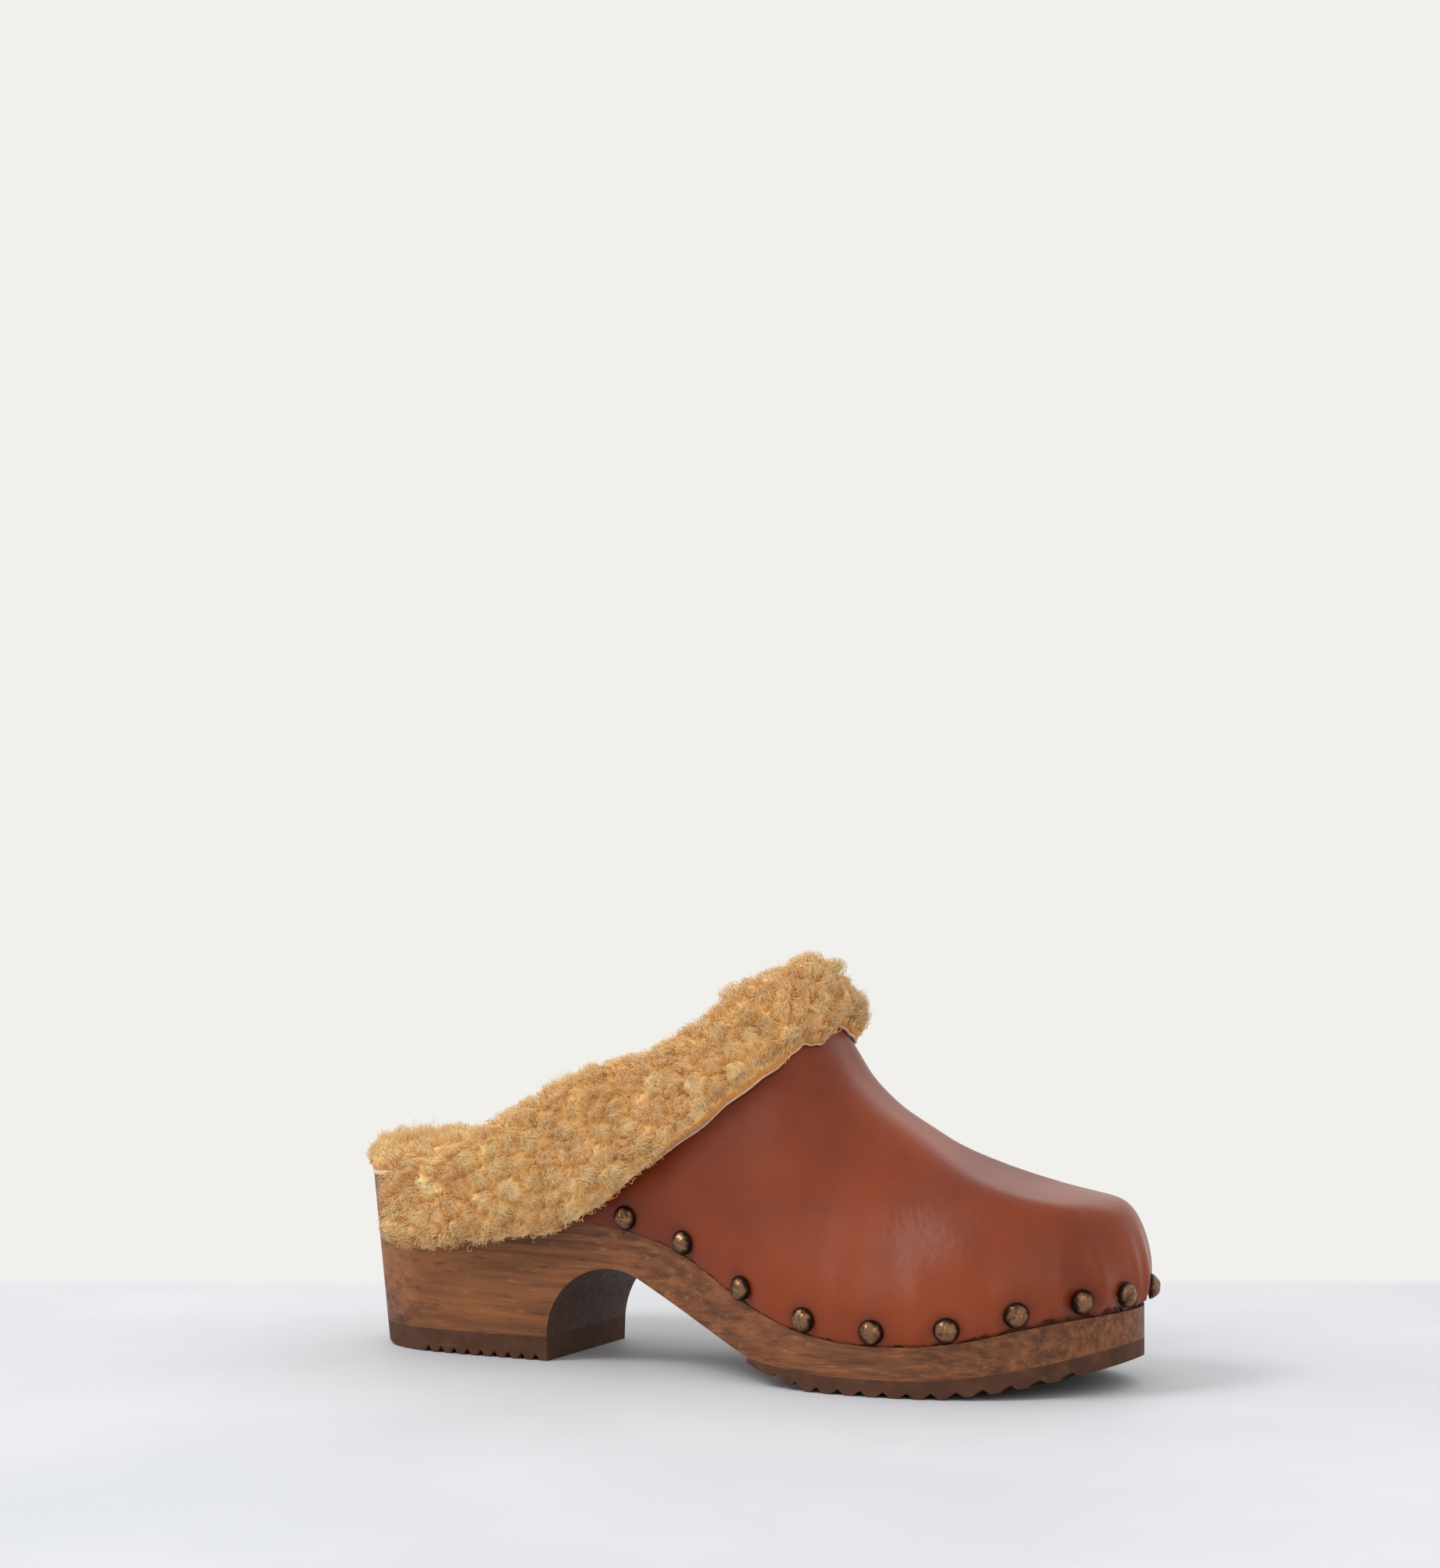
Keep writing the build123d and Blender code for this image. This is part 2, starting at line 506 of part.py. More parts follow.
def vamp_leather():
    rows = rows_between(LEATHER_REAR)
    points, out = span(OUTER[rows], OUTER_N[rows], 0 * ROW_LENGTH[rows], ROW_LENGTH[rows], 17)
    return slab(points, points - LEATHER * out)


def footbed_distance(rows):
    """How far along each row the footbed lies."""
    return height_reached(OUTER[rows], footbed_z(OUTER[rows][:, 0, 0]) + 4 * LAYER_GAP)


def toe_puff():
    rows = rows_between(SOLE_LENGTH - PUFF_LENGTH)
    low = footbed_distance(rows)
    back = SOLE_LENGTH - PUFF_LENGTH
    step = np.linalg.norm(np.diff(OUTER[rows], axis=1), axis=2)
    along = np.concatenate([np.zeros((len(low), 1)), np.cumsum(step, axis=1)], axis=1)
    high = np.array([np.interp(-back, -row[:, 0], s) if row[-1, 0] < back else s[-1]
                     for row, s in zip(OUTER[rows], along)])
    points, out = span(OUTER[rows], OUTER_N[rows], low, np.maximum(high, low + PUFF_LEAST), 13)
    near = points - (LEATHER + LAYER_GAP) * out
    return slab(near, near - PUFF * out)


def lining_depth(points):
    """Depth of the lining's outer face below the leather's outer face."""
    back = SOLE_LENGTH - PUFF_LENGTH
    puff = smoothstep(back - PUFF_RAMP[0], back - PUFF_RAMP[1], points[:, :, 0])
    return (LEATHER + LAYER_GAP + puff * (PUFF + LAYER_GAP))[:, :, None]


def lining(depth, thickness, rise, calm):
    """One layer of the vamp lining, from a rise above the footbed up to the turned-down cuff."""
    rows = rows_between(LINING_REAR)
    high = ROW_LENGTH[rows] - CUFF_INSIDE - LAYER_GAP
    points, out = span(OUTER[rows], OUTER_N[rows], footbed_distance(rows) + rise, high, 15)
    near = points - (lining_depth(points) + depth) * out
    if calm:
        out = calmed(out)
    return slab(near, near - thickness * out)


def calmed(directions):
    """The same directions, changing more slowly, so that a thick layer doesn't fold on itself."""
    for _ in range(12):
        padded = np.pad(directions, ((1, 1), (1, 1), (0, 0)), mode="edge")
        directions = (padded[:-2, 1:-1] + padded[2:, 1:-1] + padded[1:-1, :-2] + padded[1:-1, 2:]) / 4
    return directions / np.linalg.norm(directions, axis=2)[:, :, None]


def cuff_layers():
    """Four grids of the turned-down cuff: both faces of its hide, then both faces of its wool."""
    depth = through(CUFF_DEPTH, 1 - np.abs(2 * ROW_T - 1))
    below = np.linspace(-CUFF_OVER_WOOD, -1.5, 12)
    foot = OUTER[:, :1, :] + np.array([0, 0, 1]) * below[None, :, None]
    level = OUTER_N[:, :1, :] * np.array([1, 1, 0])
    level = np.repeat(level / np.linalg.norm(level, axis=2)[:, :, None], len(below), axis=1)
    rows = np.concatenate([foot, OUTER], axis=1)
    out = np.concatenate([level, OUTER_N], axis=1)
    total = lengths(rows)
    room = ROW_LENGTH - footbed_distance(slice(None))
    outside, outside_n = span(rows, out, total - depth, total, 11)
    inside, inside_n = span(rows, out, total, total - np.clip(room, CUFF_INSIDE_LEAST, CUFF_INSIDE), 4)
    top, top_n = OUTER[:, -1], OUTER_N[:, -1]
    up = OUTER[:, -1] - OUTER[:, -2]
    up /= np.linalg.norm(up, axis=1)[:, None]
    centre = top - LEATHER / 2 * top_n
    turn = np.linspace(0, pi, 7)[1:-1]
    edge_pile = CUFF_EDGE_PILE + (1 - CUFF_EDGE_PILE) * smoothstep(0, 0.35, np.linspace(0, 1, 11))
    end_pile = CUFF_END_PILE + (1 - CUFF_END_PILE) * smoothstep(0, 0.25, 1 - np.abs(2 * ROW_T - 1))
    flat = np.ones(11)
    even = np.ones(len(rows))
    layers = []
    for outer_pile, inner_pile, lift, across_rows, along_row in (
            (0, 0, LAYER_GAP, even, flat),
            (0, 0, LAYER_GAP + SKIN, even, flat),
            (0, 0, 2 * LAYER_GAP + SKIN, even, flat),
            (CUFF_PILE, VAMP_PILE, 2 * LAYER_GAP + SKIN, end_pile, edge_pile)):
        outer_lift = lift + outer_pile * across_rows
        inner_lift = lift + inner_pile * across_rows
        leg_out = outside + (lift + outer_pile * across_rows[:, None] * along_row)[..., None] * outside_n
        leg_in = inside - (LEATHER + inner_lift)[:, None, None] * inside_n
        fold = []
        for angle in turn:
            share = angle / pi
            radius = LEATHER / 2 + outer_lift * (1 - share) + inner_lift * share
            fold.append(centre + radius[:, None] * (cos(angle) * top_n + sin(angle) * up))
        layers.append(np.concatenate([leg_out[:, :-1], np.stack(fold, 1), leg_in[:, 1:]], axis=1))
    return layers


# ---- insole --------------------------------------------------------------
def insole_outline():
    """Flush with the heel back, and clear of the lining and the cuff ahead of it."""
    stack = LEATHER + PUFF + SKIN + VAMP_PILE + INSOLE_CLEARANCE + 6 * LAYER_GAP
    inset = INSOLE_INSET + stack * smoothstep(0.5 * CUFF_REAR, CUFF_REAR, SAMPLE[:, 0])
    return SAMPLE + inset[:, None] * SAMPLE_IN


def insole_layer(low, high):
    xs = past_sole(30)
    strip = across(np.column_stack([xs, footbed_z(xs) + low]), np.column_stack([xs, footbed_z(xs) + high]))
    return strip & column(insole_outline())


# ---- dome nails ----------------------------------------------------------
def nail_places():
    """Centre and outward direction of each nail head, from the outer rear round to the inner."""
    edge_length = np.concatenate([[0], np.cumsum(np.linalg.norm(np.diff(OUTER[:, 0], axis=0), axis=1))])
    distance = height_reached(OUTER, OUTER[:, 0, 2] + NAIL_ABOVE_EDGE)
    points, out = span(OUTER, OUTER_N, distance, distance + 0.1, 2)
    foremost = edge_length[OUTER[:, 0, 0].argmax()]
    outer_side = foremost - np.cumsum(OUTER_NAIL_GAPS)
    inner_side = foremost + np.cumsum(INNER_NAIL_GAPS)
    places = []
    for at in np.concatenate([outer_side[::-1], inner_side]):
        spot = [float(np.interp(at, edge_length, points[:, 0, k])) for k in range(3)]
        aim = [float(np.interp(at, edge_length, out[:, 0, k])) * share
               for k, share in enumerate((1, 1, NAIL_TILT))]
        if 0 < at < edge_length[-1] and spot[0] > LEATHER_REAR + NAIL_HEAD_DIAMETER:
            places.append((Vector(*spot), Vector(*aim).normalized()))
    return places


def nail(centre, out, clearance=0.0):
    """A domed head that sits on the leather and a plain shank driven into the wood."""
    plane = Plane(origin=centre + out * (NAIL_SEAT - clearance), z_dir=out)
    radius = NAIL_HEAD_DIAMETER / 2
    ball = (radius ** 2 + NAIL_HEAD_HEIGHT ** 2) / (2 * NAIL_HEAD_HEIGHT)
    dome = Pos(0, 0, NAIL_HEAD_HEIGHT - ball) * Sphere(ball)
    dome &= Cylinder(radius + 1, 2 * NAIL_HEAD_HEIGHT, align=(Align.CENTER, Align.CENTER, Align.MIN))
    shank = Cylinder(NAIL_SHANK_DIAMETER / 2 + clearance, NAIL_SHANK_LENGTH + clearance,
                     align=(Align.CENTER, Align.CENTER, Align.MAX))
    return plane.location * (shank if clearance else dome + shank)


def main():
    os.makedirs("parts", exist_ok=True)
    block = sole_block()
    hollow = shank_hollow()
    places = nail_places()
    holes = [nail(centre, out, HOLE_CLEARANCE) for centre, out in places]
    wood = wooden_sole(block, hollow) - holes
    leather = vamp_leather() - holes
    hide_in, hide_out, wool_in, wool_out = cuff_layers()
    groups = {"toe_nails": [], "outer_side_nails": [], "inner_side_nails": []}
    for centre, out in places:
        side = "outer_side_nails" if centre.Y < 0 else "inner_side_nails"
        if out.X > TOE_NAIL_AIM:
            side = "toe_nails"
        groups[side].append(nail(centre, out))
    skin_top = LAYER_GAP + SKIN
    pieces = {
        "wooden_sole": wood,
        "forepart_outsole": forepart_outsole(block),
        "heel_top_lift": heel_top_lift(block, hollow),
        "vamp_leather": leather,
        "toe_puff": toe_puff(),
        "lining_hide": lining(0, SKIN, 0, False),
        "lining_wool": lining(SKIN + LAYER_GAP, VAMP_PILE, LINING_WOOL_RISE, True),
        "cuff_hide": slab(hide_in, hide_out),
        "cuff_wool": slab(wool_in, wool_out),
        "insole_hide": insole_layer(LAYER_GAP, skin_top),
        "insole_wool": insole_layer(skin_top + LAYER_GAP, skin_top + SOCK_PILE),
    }
    for name, nails in groups.items():
        pieces[name] = Compound(children=nails)
    shift = centring([piece.bounding_box() for piece in pieces.values()])
    for name, piece in pieces.items():
        export_step(Pos(*shift) * piece, f"parts/{name}.step")


def centring(boxes):
    """Shift that puts the origin under the middle of the clog, on the floor."""
    low = [min(box.min.X for box in boxes), min(box.min.Y for box in boxes), min(box.min.Z for box in boxes)]
    high = [max(box.max.X for box in boxes), max(box.max.Y for box in boxes)]
    return -(low[0] + high[0]) / 2, -(low[1] + high[1]) / 2, -low[2]


if __name__ == "__main__":
    main()
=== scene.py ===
from math import cos, pi, radians, sin
import bpy
import numpy as np
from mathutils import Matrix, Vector
from mathutils.kdtree import KDTree


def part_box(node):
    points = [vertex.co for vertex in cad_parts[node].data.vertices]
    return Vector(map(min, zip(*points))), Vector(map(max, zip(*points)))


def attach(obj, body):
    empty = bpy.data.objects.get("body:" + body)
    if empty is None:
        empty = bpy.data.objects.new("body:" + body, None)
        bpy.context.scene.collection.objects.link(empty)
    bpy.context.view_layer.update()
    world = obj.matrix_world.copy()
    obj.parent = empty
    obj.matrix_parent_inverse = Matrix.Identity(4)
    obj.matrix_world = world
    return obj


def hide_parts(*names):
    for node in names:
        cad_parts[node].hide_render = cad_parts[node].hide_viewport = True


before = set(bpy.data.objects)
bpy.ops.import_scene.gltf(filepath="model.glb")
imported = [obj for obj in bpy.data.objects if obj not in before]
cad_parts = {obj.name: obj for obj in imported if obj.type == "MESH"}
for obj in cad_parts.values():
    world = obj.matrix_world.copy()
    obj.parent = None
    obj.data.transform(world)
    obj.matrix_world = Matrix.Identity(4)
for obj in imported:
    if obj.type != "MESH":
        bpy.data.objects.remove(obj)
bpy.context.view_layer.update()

# Looks of a shearling-lined wooden clog. Shapes are worked out in millimetres on
# the last: +X from heel back to toe, -Y the outer side, Z up from the floor.
# place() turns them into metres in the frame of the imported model.
MM = 0.001

# ---- the last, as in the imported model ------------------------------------
SOLE_LENGTH, SOLE_WIDTH = 261.5, 93.0
HEEL_EDGE_Z, BALL_EDGE_Z, TOE_SPRING = 46.8, 15.2, 8.9
INSTEP_Z, TOE_BOX_Z = 118.0, 57.0
FOOTBED_RISE, HEEL_SEAT_DROP = 11.0, 3.4
LEATHER, LEATHER_REAR = 2.2, 38.0
SIDE_BULGE, TOE_BULGE, TOE_SHOULDER, TOE_CROWN = 2.2, 0.4, 11.0, 4.5
BULGE_HEIGHT, RIDGE_Y = 12.0, 3.0
SHOULDER, TOP_CURVE, FOOT_CURVE = 0.94, (2.05, 0.6), (1.25, 1.2)
HALF_WIDTHS = [(0.0, 0.66), (0.30, 0.69), (0.43, 0.71), (0.68, 0.985), (1.0, 0.985)]
LINING_REAR = 76.0
PUFF, PUFF_LENGTH, PUFF_RAMP, SKIN, LAYER_GAP = 0.9, 42.0, (14.0, 2.0), 1.0, 0.05
CUFF_REAR, CUFF_INSIDE, CUFF_INSIDE_LEAST, CUFF_OVER_WOOD = 25.0, 9.0, 0.6, 30.0
HEEL_TOPLINE_Z, THROAT = 57.5, 0.600
TOE_ROWS_STRAIGHT = 0.8
NAIL_HEAD_DIAMETER, NAIL_HEAD_HEIGHT = 7.8, 2.9
NAIL_SHANK_DIAMETER, NAIL_SHANK_LENGTH = 2.0, 12.0
NAIL_ABOVE_EDGE, NAIL_SEAT, NAIL_TILT, TOE_NAIL_AIM = 4.3, 0.08, 0.3, 0.62
OUTER_NAIL_GAPS = [13.0, 17.5, 21.0, 21.0, 22.7, 22.8, 24.3, 26.0, 23.3, 20.2, 21.0]
INNER_NAIL_GAPS = [6.5, 21.0, 22.0, 22.0, 22.5, 23.0, 23.0, 23.0, 22.5, 22.5, 21.5]
PLAN = [(0.004, 0.02), (0.020, -0.36), (0.084, -0.613), (0.172, -0.688), (0.306, -0.690),
        (0.421, -0.710), (0.543, -0.84), (0.677, -0.985), (0.811, -0.935), (0.918, -0.655),
        (0.979, -0.258), (1.0, 0.107), (0.987, 0.473), (0.918, 0.817), (0.776, 0.99),
        (0.620, 0.893), (0.459, 0.667), (0.306, 0.634), (0.172, 0.667), (0.076, 0.60),
        (0.017, 0.345)]
HEEL_RISE = [(0.0, 1.0), (0.30, 0.985), (0.398, 0.905), (0.467, 0.785), (0.525, 0.57),
             (0.56, 0.41), (0.593, 0.27), (0.631, 0.15), (0.67, 0.065), (0.707, 0.02),
             (0.75, 0.0), (1.1, 0.0)]
TOE_RISE = [(0.0, 0.0), (0.75, 0.0), (0.80, 0.04), (0.837, 0.16), (0.87, 0.33),
            (0.902, 0.55), (0.93, 0.73), (0.96, 0.88), (1.0, 1.0), (1.1, 1.2)]
RIDGE = [(-0.1, 1.62), (0.30, 1.50), (0.46, 1.34), (0.56, 1.15), (0.600, 1.0), (0.634, 0.77),
         (0.66, 0.595), (0.70, 0.437), (0.74, 0.325), (0.78, 0.225), (0.82, 0.147),
         (0.86, 0.086), (0.90, 0.038), (0.94, 0.008), (0.98, -0.01), (1.05, -0.02)]
TOPLINE = [(0.0, 0.0), (0.10, 0.003), (0.145, 0.02), (0.205, 0.095), (0.245, 0.19), (0.29, 0.30),
           (0.34, 0.425), (0.394, 0.53), (0.466, 0.64), (0.512, 0.75), (0.547, 0.875),
           (0.575, 0.965), (0.600, 1.0), (0.7, 1.3)]
RIM = [(0.0, 0.0), (0.19, 0.30), (0.288, 0.404), (0.378, 0.459), (0.5, 0.5)]
CUFF_DEPTH = [(0.0, 19.0), (0.06, 20.0), (0.115, 23.5), (0.173, 29.0), (0.235, 34.0), (0.29, 35.0),
              (0.35, 30.5), (0.405, 25.5), (0.465, 22.0), (0.55, 20.8), (0.64, 20.2), (0.75, 18.2),
              (1.0, 15.6)]

# ---- what only the looks need --------------------------------------------
CUFF_WOOL, VAMP_WOOL, SOCK_WOOL = 8.6, 6.5, 10.0      # pile heights
TUFT = 5.8                     # spacing of the wool's tufts
STRAND = 0.14                  # radius of a strand of wool at its root
STRAND_JOINTS = 7
STRANDS = 5000                 # in one piece of locks
STRAYS = 0.05                  # share of the strands that stand out of their tuft
DRAWN = 0.50                   # how far the others are drawn to its tip
CURL, CURL_TURNS = 0.95, (3.5, 9.0)  # radius of a strand's curl, and its turn in radians
PUCKER, PUCKER_WIDTH, PUCKER_HEIGHT = 3.4, 2.2, 19.0  # folds between the toe nails
INSOLE_CLEARANCE = 2.0         # between the insole and the wool beside it
NAIL_DIMPLE = 0.45             # leather pulled in round each nail


# ---- stage: the camera stands at the usual side view of a shoe -----------
WALL = (241, 240, 236)         # the plain pale backdrop
TABLE_END = 0.168              # the table top gives way to it this far behind the clog
VIEW_YAW = radians(26)
CAMERA_AT = (0.5015, -1.0476, 0.183)
LENS, SENSOR = 84.1, 36.0


def through(table, x):
    """Smooth monotone curve through a table of (x, value) pairs."""
    px = np.array([p[0] for p in table], float)
    py = np.array([p[1] for p in table], float)
    step = np.diff(px)
    slope = np.diff(py) / step
    tangent = np.zeros_like(py)
    tangent[0] = slope[0]
    tangent[-1] = slope[-1]
    for i in range(1, len(px) - 1):
        if slope[i - 1] * slope[i] > 0:
            w1 = 2 * step[i] + step[i - 1]
            w2 = step[i] + 2 * step[i - 1]
            tangent[i] = (w1 + w2) / (w1 / slope[i - 1] + w2 / slope[i])
    x = np.clip(np.asarray(x, float), px[0], px[-1])
    k = np.clip(np.searchsorted(px, x) - 1, 0, len(px) - 2)
    h = step[k]
    s = (x - px[k]) / h
    return ((1 + 2 * s) * (1 - s) ** 2 * py[k] + s * (1 - s) ** 2 * h * tangent[k]
            + s * s * (3 - 2 * s) * py[k + 1] + s * s * (s - 1) * h * tangent[k + 1])


def smoothstep(low, high, x):
    s = np.clip((np.asarray(x, float) - low) / (high - low), 0, 1)
    return s * s * (3 - 2 * s)


def resample(line, count):
    """The same line with count points, evenly spaced along its length."""
    length = np.concatenate([[0], np.cumsum(np.linalg.norm(np.diff(line, axis=0), axis=1))])
    wanted = np.linspace(0, length[-1], count)
    return np.stack([np.interp(wanted, length, line[:, i]) for i in range(line.shape[1])], 1)


def closed_curve(points, count):
    """Periodic cubic spline through points, sampled evenly along its length."""
    points = np.array(points, float)
    n = len(points)
    matrix = 4 * np.eye(n) + np.roll(np.eye(n), 1, 0) + np.roll(np.eye(n), -1, 0)
    tangent = np.linalg.solve(matrix, 3 * (np.roll(points, -1, 0) - np.roll(points, 1, 0)))
    u = np.linspace(0, n, 60 * n, endpoint=False)
    k = u.astype(int)
    s = (u - k)[:, None]
    following = (k + 1) % n
    dense = ((1 + 2 * s) * (1 - s) ** 2 * points[k] + s * (1 - s) ** 2 * tangent[k]
             + s * s * (3 - 2 * s) * points[following] + s * s * (s - 1) * tangent[following])
    return resample(np.vstack([dense, dense[:1]]), count + 1)[:-1]


def edge_z(x):
    """Lower edge of the leather."""
    u = np.asarray(x, float) / SOLE_LENGTH
    heel = (HEEL_EDGE_Z - BALL_EDGE_Z) * through(HEEL_RISE, u)
    return BALL_EDGE_Z + heel + TOE_SPRING * through(TOE_RISE, u)


def footbed_z(x):
    u = np.asarray(x, float) / SOLE_LENGTH
    return edge_z(x) + FOOTBED_RISE - HEEL_SEAT_DROP * np.clip(1 - u / 0.25, 0, 1.2) ** 2


def ridge_z(x):
    """Top of the upper on its centre line, carried on over the opening."""
    return TOE_BOX_Z + (INSTEP_Z - TOE_BOX_Z) * through(RIDGE, np.asarray(x, float) / SOLE_LENGTH)


def topline_z(x):
    climb = through(TOPLINE, np.asarray(x, float) / SOLE_LENGTH)
    return HEEL_TOPLINE_Z + (INSTEP_Z - HEEL_TOPLINE_Z) * climb


def unit(vectors):
    return vectors / np.maximum(np.linalg.norm(vectors, axis=-1, keepdims=True), 1e-9)


def tree_of(points):
    """Search tree over points of the plan or of space."""
    tree = KDTree(len(points))
    for i, p in enumerate(points):
        tree.insert((p[0], p[1], p[2] if len(p) > 2 else 0.0), i)
    tree.balance()
    return tree


OUTLINE = closed_curve([(u * SOLE_LENGTH, w * SOLE_WIDTH / 2) for u, w in PLAN], 900)
ALONG_OUTLINE = np.roll(OUTLINE, -1, 0) - np.roll(OUTLINE, 1, 0)
OUTLINE_IN = unit(np.stack([-ALONG_OUTLINE[:, 1], ALONG_OUTLINE[:, 0]], 1))
OUTLINE_TREE = tree_of(OUTLINE)


def cross_section(xc):
    """Shoulder width and the two exponents of the section, by place on the sole's edge."""
    places, shares = np.array(HALF_WIDTHS).T
    half = np.interp(xc / SOLE_LENGTH, places, shares) * SOLE_WIDTH / 2
    toe = smoothstep(0.76 * SOLE_LENGTH, SOLE_LENGTH, xc)
    width = SHOULDER * half * (1 - toe) + TOE_SHOULDER * toe
    top = TOP_CURVE[0] + TOP_CURVE[1] * toe
    foot = FOOT_CURVE[0] + FOOT_CURVE[1] * smoothstep(0.72 * SOLE_LENGTH, 0.96 * SOLE_LENGTH, xc)
    return width, top, foot


def surface_point(plan):
    """Points of the leather's outer surface above plan points inside the sole."""
    nearest = np.array([OUTLINE_TREE.find((x, y, 0))[1] for x, y in plan])
    depth = np.abs(((plan - OUTLINE[nearest]) * OUTLINE_IN[nearest]).sum(1))
    xc = OUTLINE[nearest, 0]
    width, top, foot = cross_section(xc)
    share = (1 - (1 - np.clip(depth / width, 0, 1)) ** top) ** (1 / foot)
    side = (plan[:, 1] - RIDGE_Y) / (SOLE_WIDTH / 2)
    crown = TOE_CROWN * smoothstep(0.65 * SOLE_LENGTH, 0.9 * SOLE_LENGTH, plan[:, 0]) * side ** 2
    low = edge_z(xc)
    z = low + (ridge_z(plan[:, 0]) - crown - low) * share
    height = (z - low) / BULGE_HEIGHT
    swell = SIDE_BULGE * smoothstep(0.2 * SOLE_LENGTH, 0.55 * SOLE_LENGTH, xc)
    swell = swell + TOE_BULGE * smoothstep(0.88 * SOLE_LENGTH, SOLE_LENGTH, xc)
    swell = swell * height * np.exp(1 - height) * (1 - np.clip(depth / width, 0, 1) ** 2)
    out = -swell[:, None] * OUTLINE_IN[nearest]
    return np.column_stack([plan + out, z])


def feather_and_rim():
    """Plan lines of the vamp's lower edge and of the topline, outer rear to inner rear."""
    ahead = np.flatnonzero(OUTLINE[:, 0] >= CUFF_REAR)
    feather = OUTLINE[ahead[0]:ahead[-1] + 1]
    inner = OUTLINE_IN[ahead[0]:ahead[-1] + 1]
    x = feather[:, 0]
    width, top, foot = cross_section(x)
    depth = np.zeros_like(x)
    for _ in range(60):
        at = x + depth * inner[:, 0]
        climb = np.clip((topline_z(at) - edge_z(x)) / (ridge_z(at) - edge_z(x)), 0, 1)
        depth = 0.5 * depth + 0.5 * width * (1 - (1 - climb ** foot) ** (1 / top))
    behind = x + depth * inner[:, 0] <= THROAT * SOLE_LENGTH
    rim = (feather + depth[:, None] * inner)[behind]
    return resample(feather, LINE_POINTS), resample(rim, LINE_POINTS)


LINE_POINTS = 1201
FEATHER, RIM_LINE = feather_and_rim()


def upper_grid(t, v):
    """Outer surface: t runs round the sole from outer to inner rear, v from edge to topline."""
    half = np.minimum(t, 1 - t)
    along = np.where(t < 0.5, through(RIM, half), 1 - through(RIM, half))
    grid = np.linspace(0, 1, LINE_POINTS)
    start = np.stack([np.interp(t, grid, FEATHER[:, i]) for i in (0, 1)], 1)
    end = np.stack([np.interp(along, grid, RIM_LINE[:, i]) for i in (0, 1)], 1)
    tangent = np.stack([np.interp(t, grid, np.gradient(FEATHER[:, i])) for i in (0, 1)], 1)
    inside = unit(np.stack([-tangent[:, 1], tangent[:, 0]], 1))
    reach = np.linalg.norm(end - start, axis=1)[:, None]
    straight = TOE_ROWS_STRAIGHT * smoothstep(0.25, 0.42, half)[:, None]
    leave = (1 - straight) * inside + straight * (end - start) / reach
    middle = start + 0.5 * reach * unit(leave)
    u = (v ** 2)[None, :, None]
    plan = (1 - u) ** 2 * start[:, None] + 2 * u * (1 - u) * middle[:, None] + u ** 2 * end[:, None]
    return surface_point(plan.reshape(-1, 2)).reshape(len(t), len(v), 3)


def normals(grid):
    """Outward unit normals of a surface grid."""
    return unit(np.cross(np.gradient(grid, axis=0), np.gradient(grid, axis=1)))


def span(rows, row_normals, low, high, count):
    """Points and normals of each row between two distances along it."""
    points = np.empty((len(rows), count, 3))
    directions = np.empty_like(points)
    for i, row in enumerate(rows):
        length = np.concatenate([[0], np.cumsum(np.linalg.norm(np.diff(row, axis=0), axis=1))])
        wanted = np.linspace(low[i], high[i], count)
        for k in range(3):
            points[i, :, k] = np.interp(wanted, length, row[:, k])
            directions[i, :, k] = np.interp(wanted, length, row_normals[i, :, k])
    return points, unit(directions)


def lengths(rows):
    return np.linalg.norm(np.diff(rows, axis=1), axis=2).sum(1)


def height_reached(rows, level):
    """Distance along each row at which it first reaches a height, one height per row."""
    step = np.linalg.norm(np.diff(rows, axis=1), axis=2)
    length = np.concatenate([np.zeros((len(rows), 1)), np.cumsum(step, axis=1)], axis=1)
    return np.array([np.interp(z, row[:, 2], s) for z, row, s in zip(level, rows, length)])


def softened(field, rounds):
    """A field over a grid, averaged with its neighbours."""
    for _ in range(rounds):
        edge = ((1, 1), (1, 1)) + ((0, 0),) * (field.ndim - 2)
        wide = np.pad(field, edge, mode="edge")
        field = (wide[:-2, 1:-1] + wide[2:, 1:-1] + wide[1:-1, :-2] + wide[1:-1, 2:]) / 4
    return field


# ---- meshes --------------------------------------------------------------
TOE_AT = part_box("forepart_outsole")
SHIFT = np.array([TOE_AT[1][0] / MM - OUTLINE[:, 0].max(),
                  (TOE_AT[0][1] + TOE_AT[1][1]) / 2 / MM - (OUTLINE[:, 1].min() + OUTLINE[:, 1].max()) / 2,
                  TOE_AT[0][2] / MM])


def place(points):
    """Millimetres on the last to metres in the frame."""
    return (np.asarray(points) + SHIFT) * MM


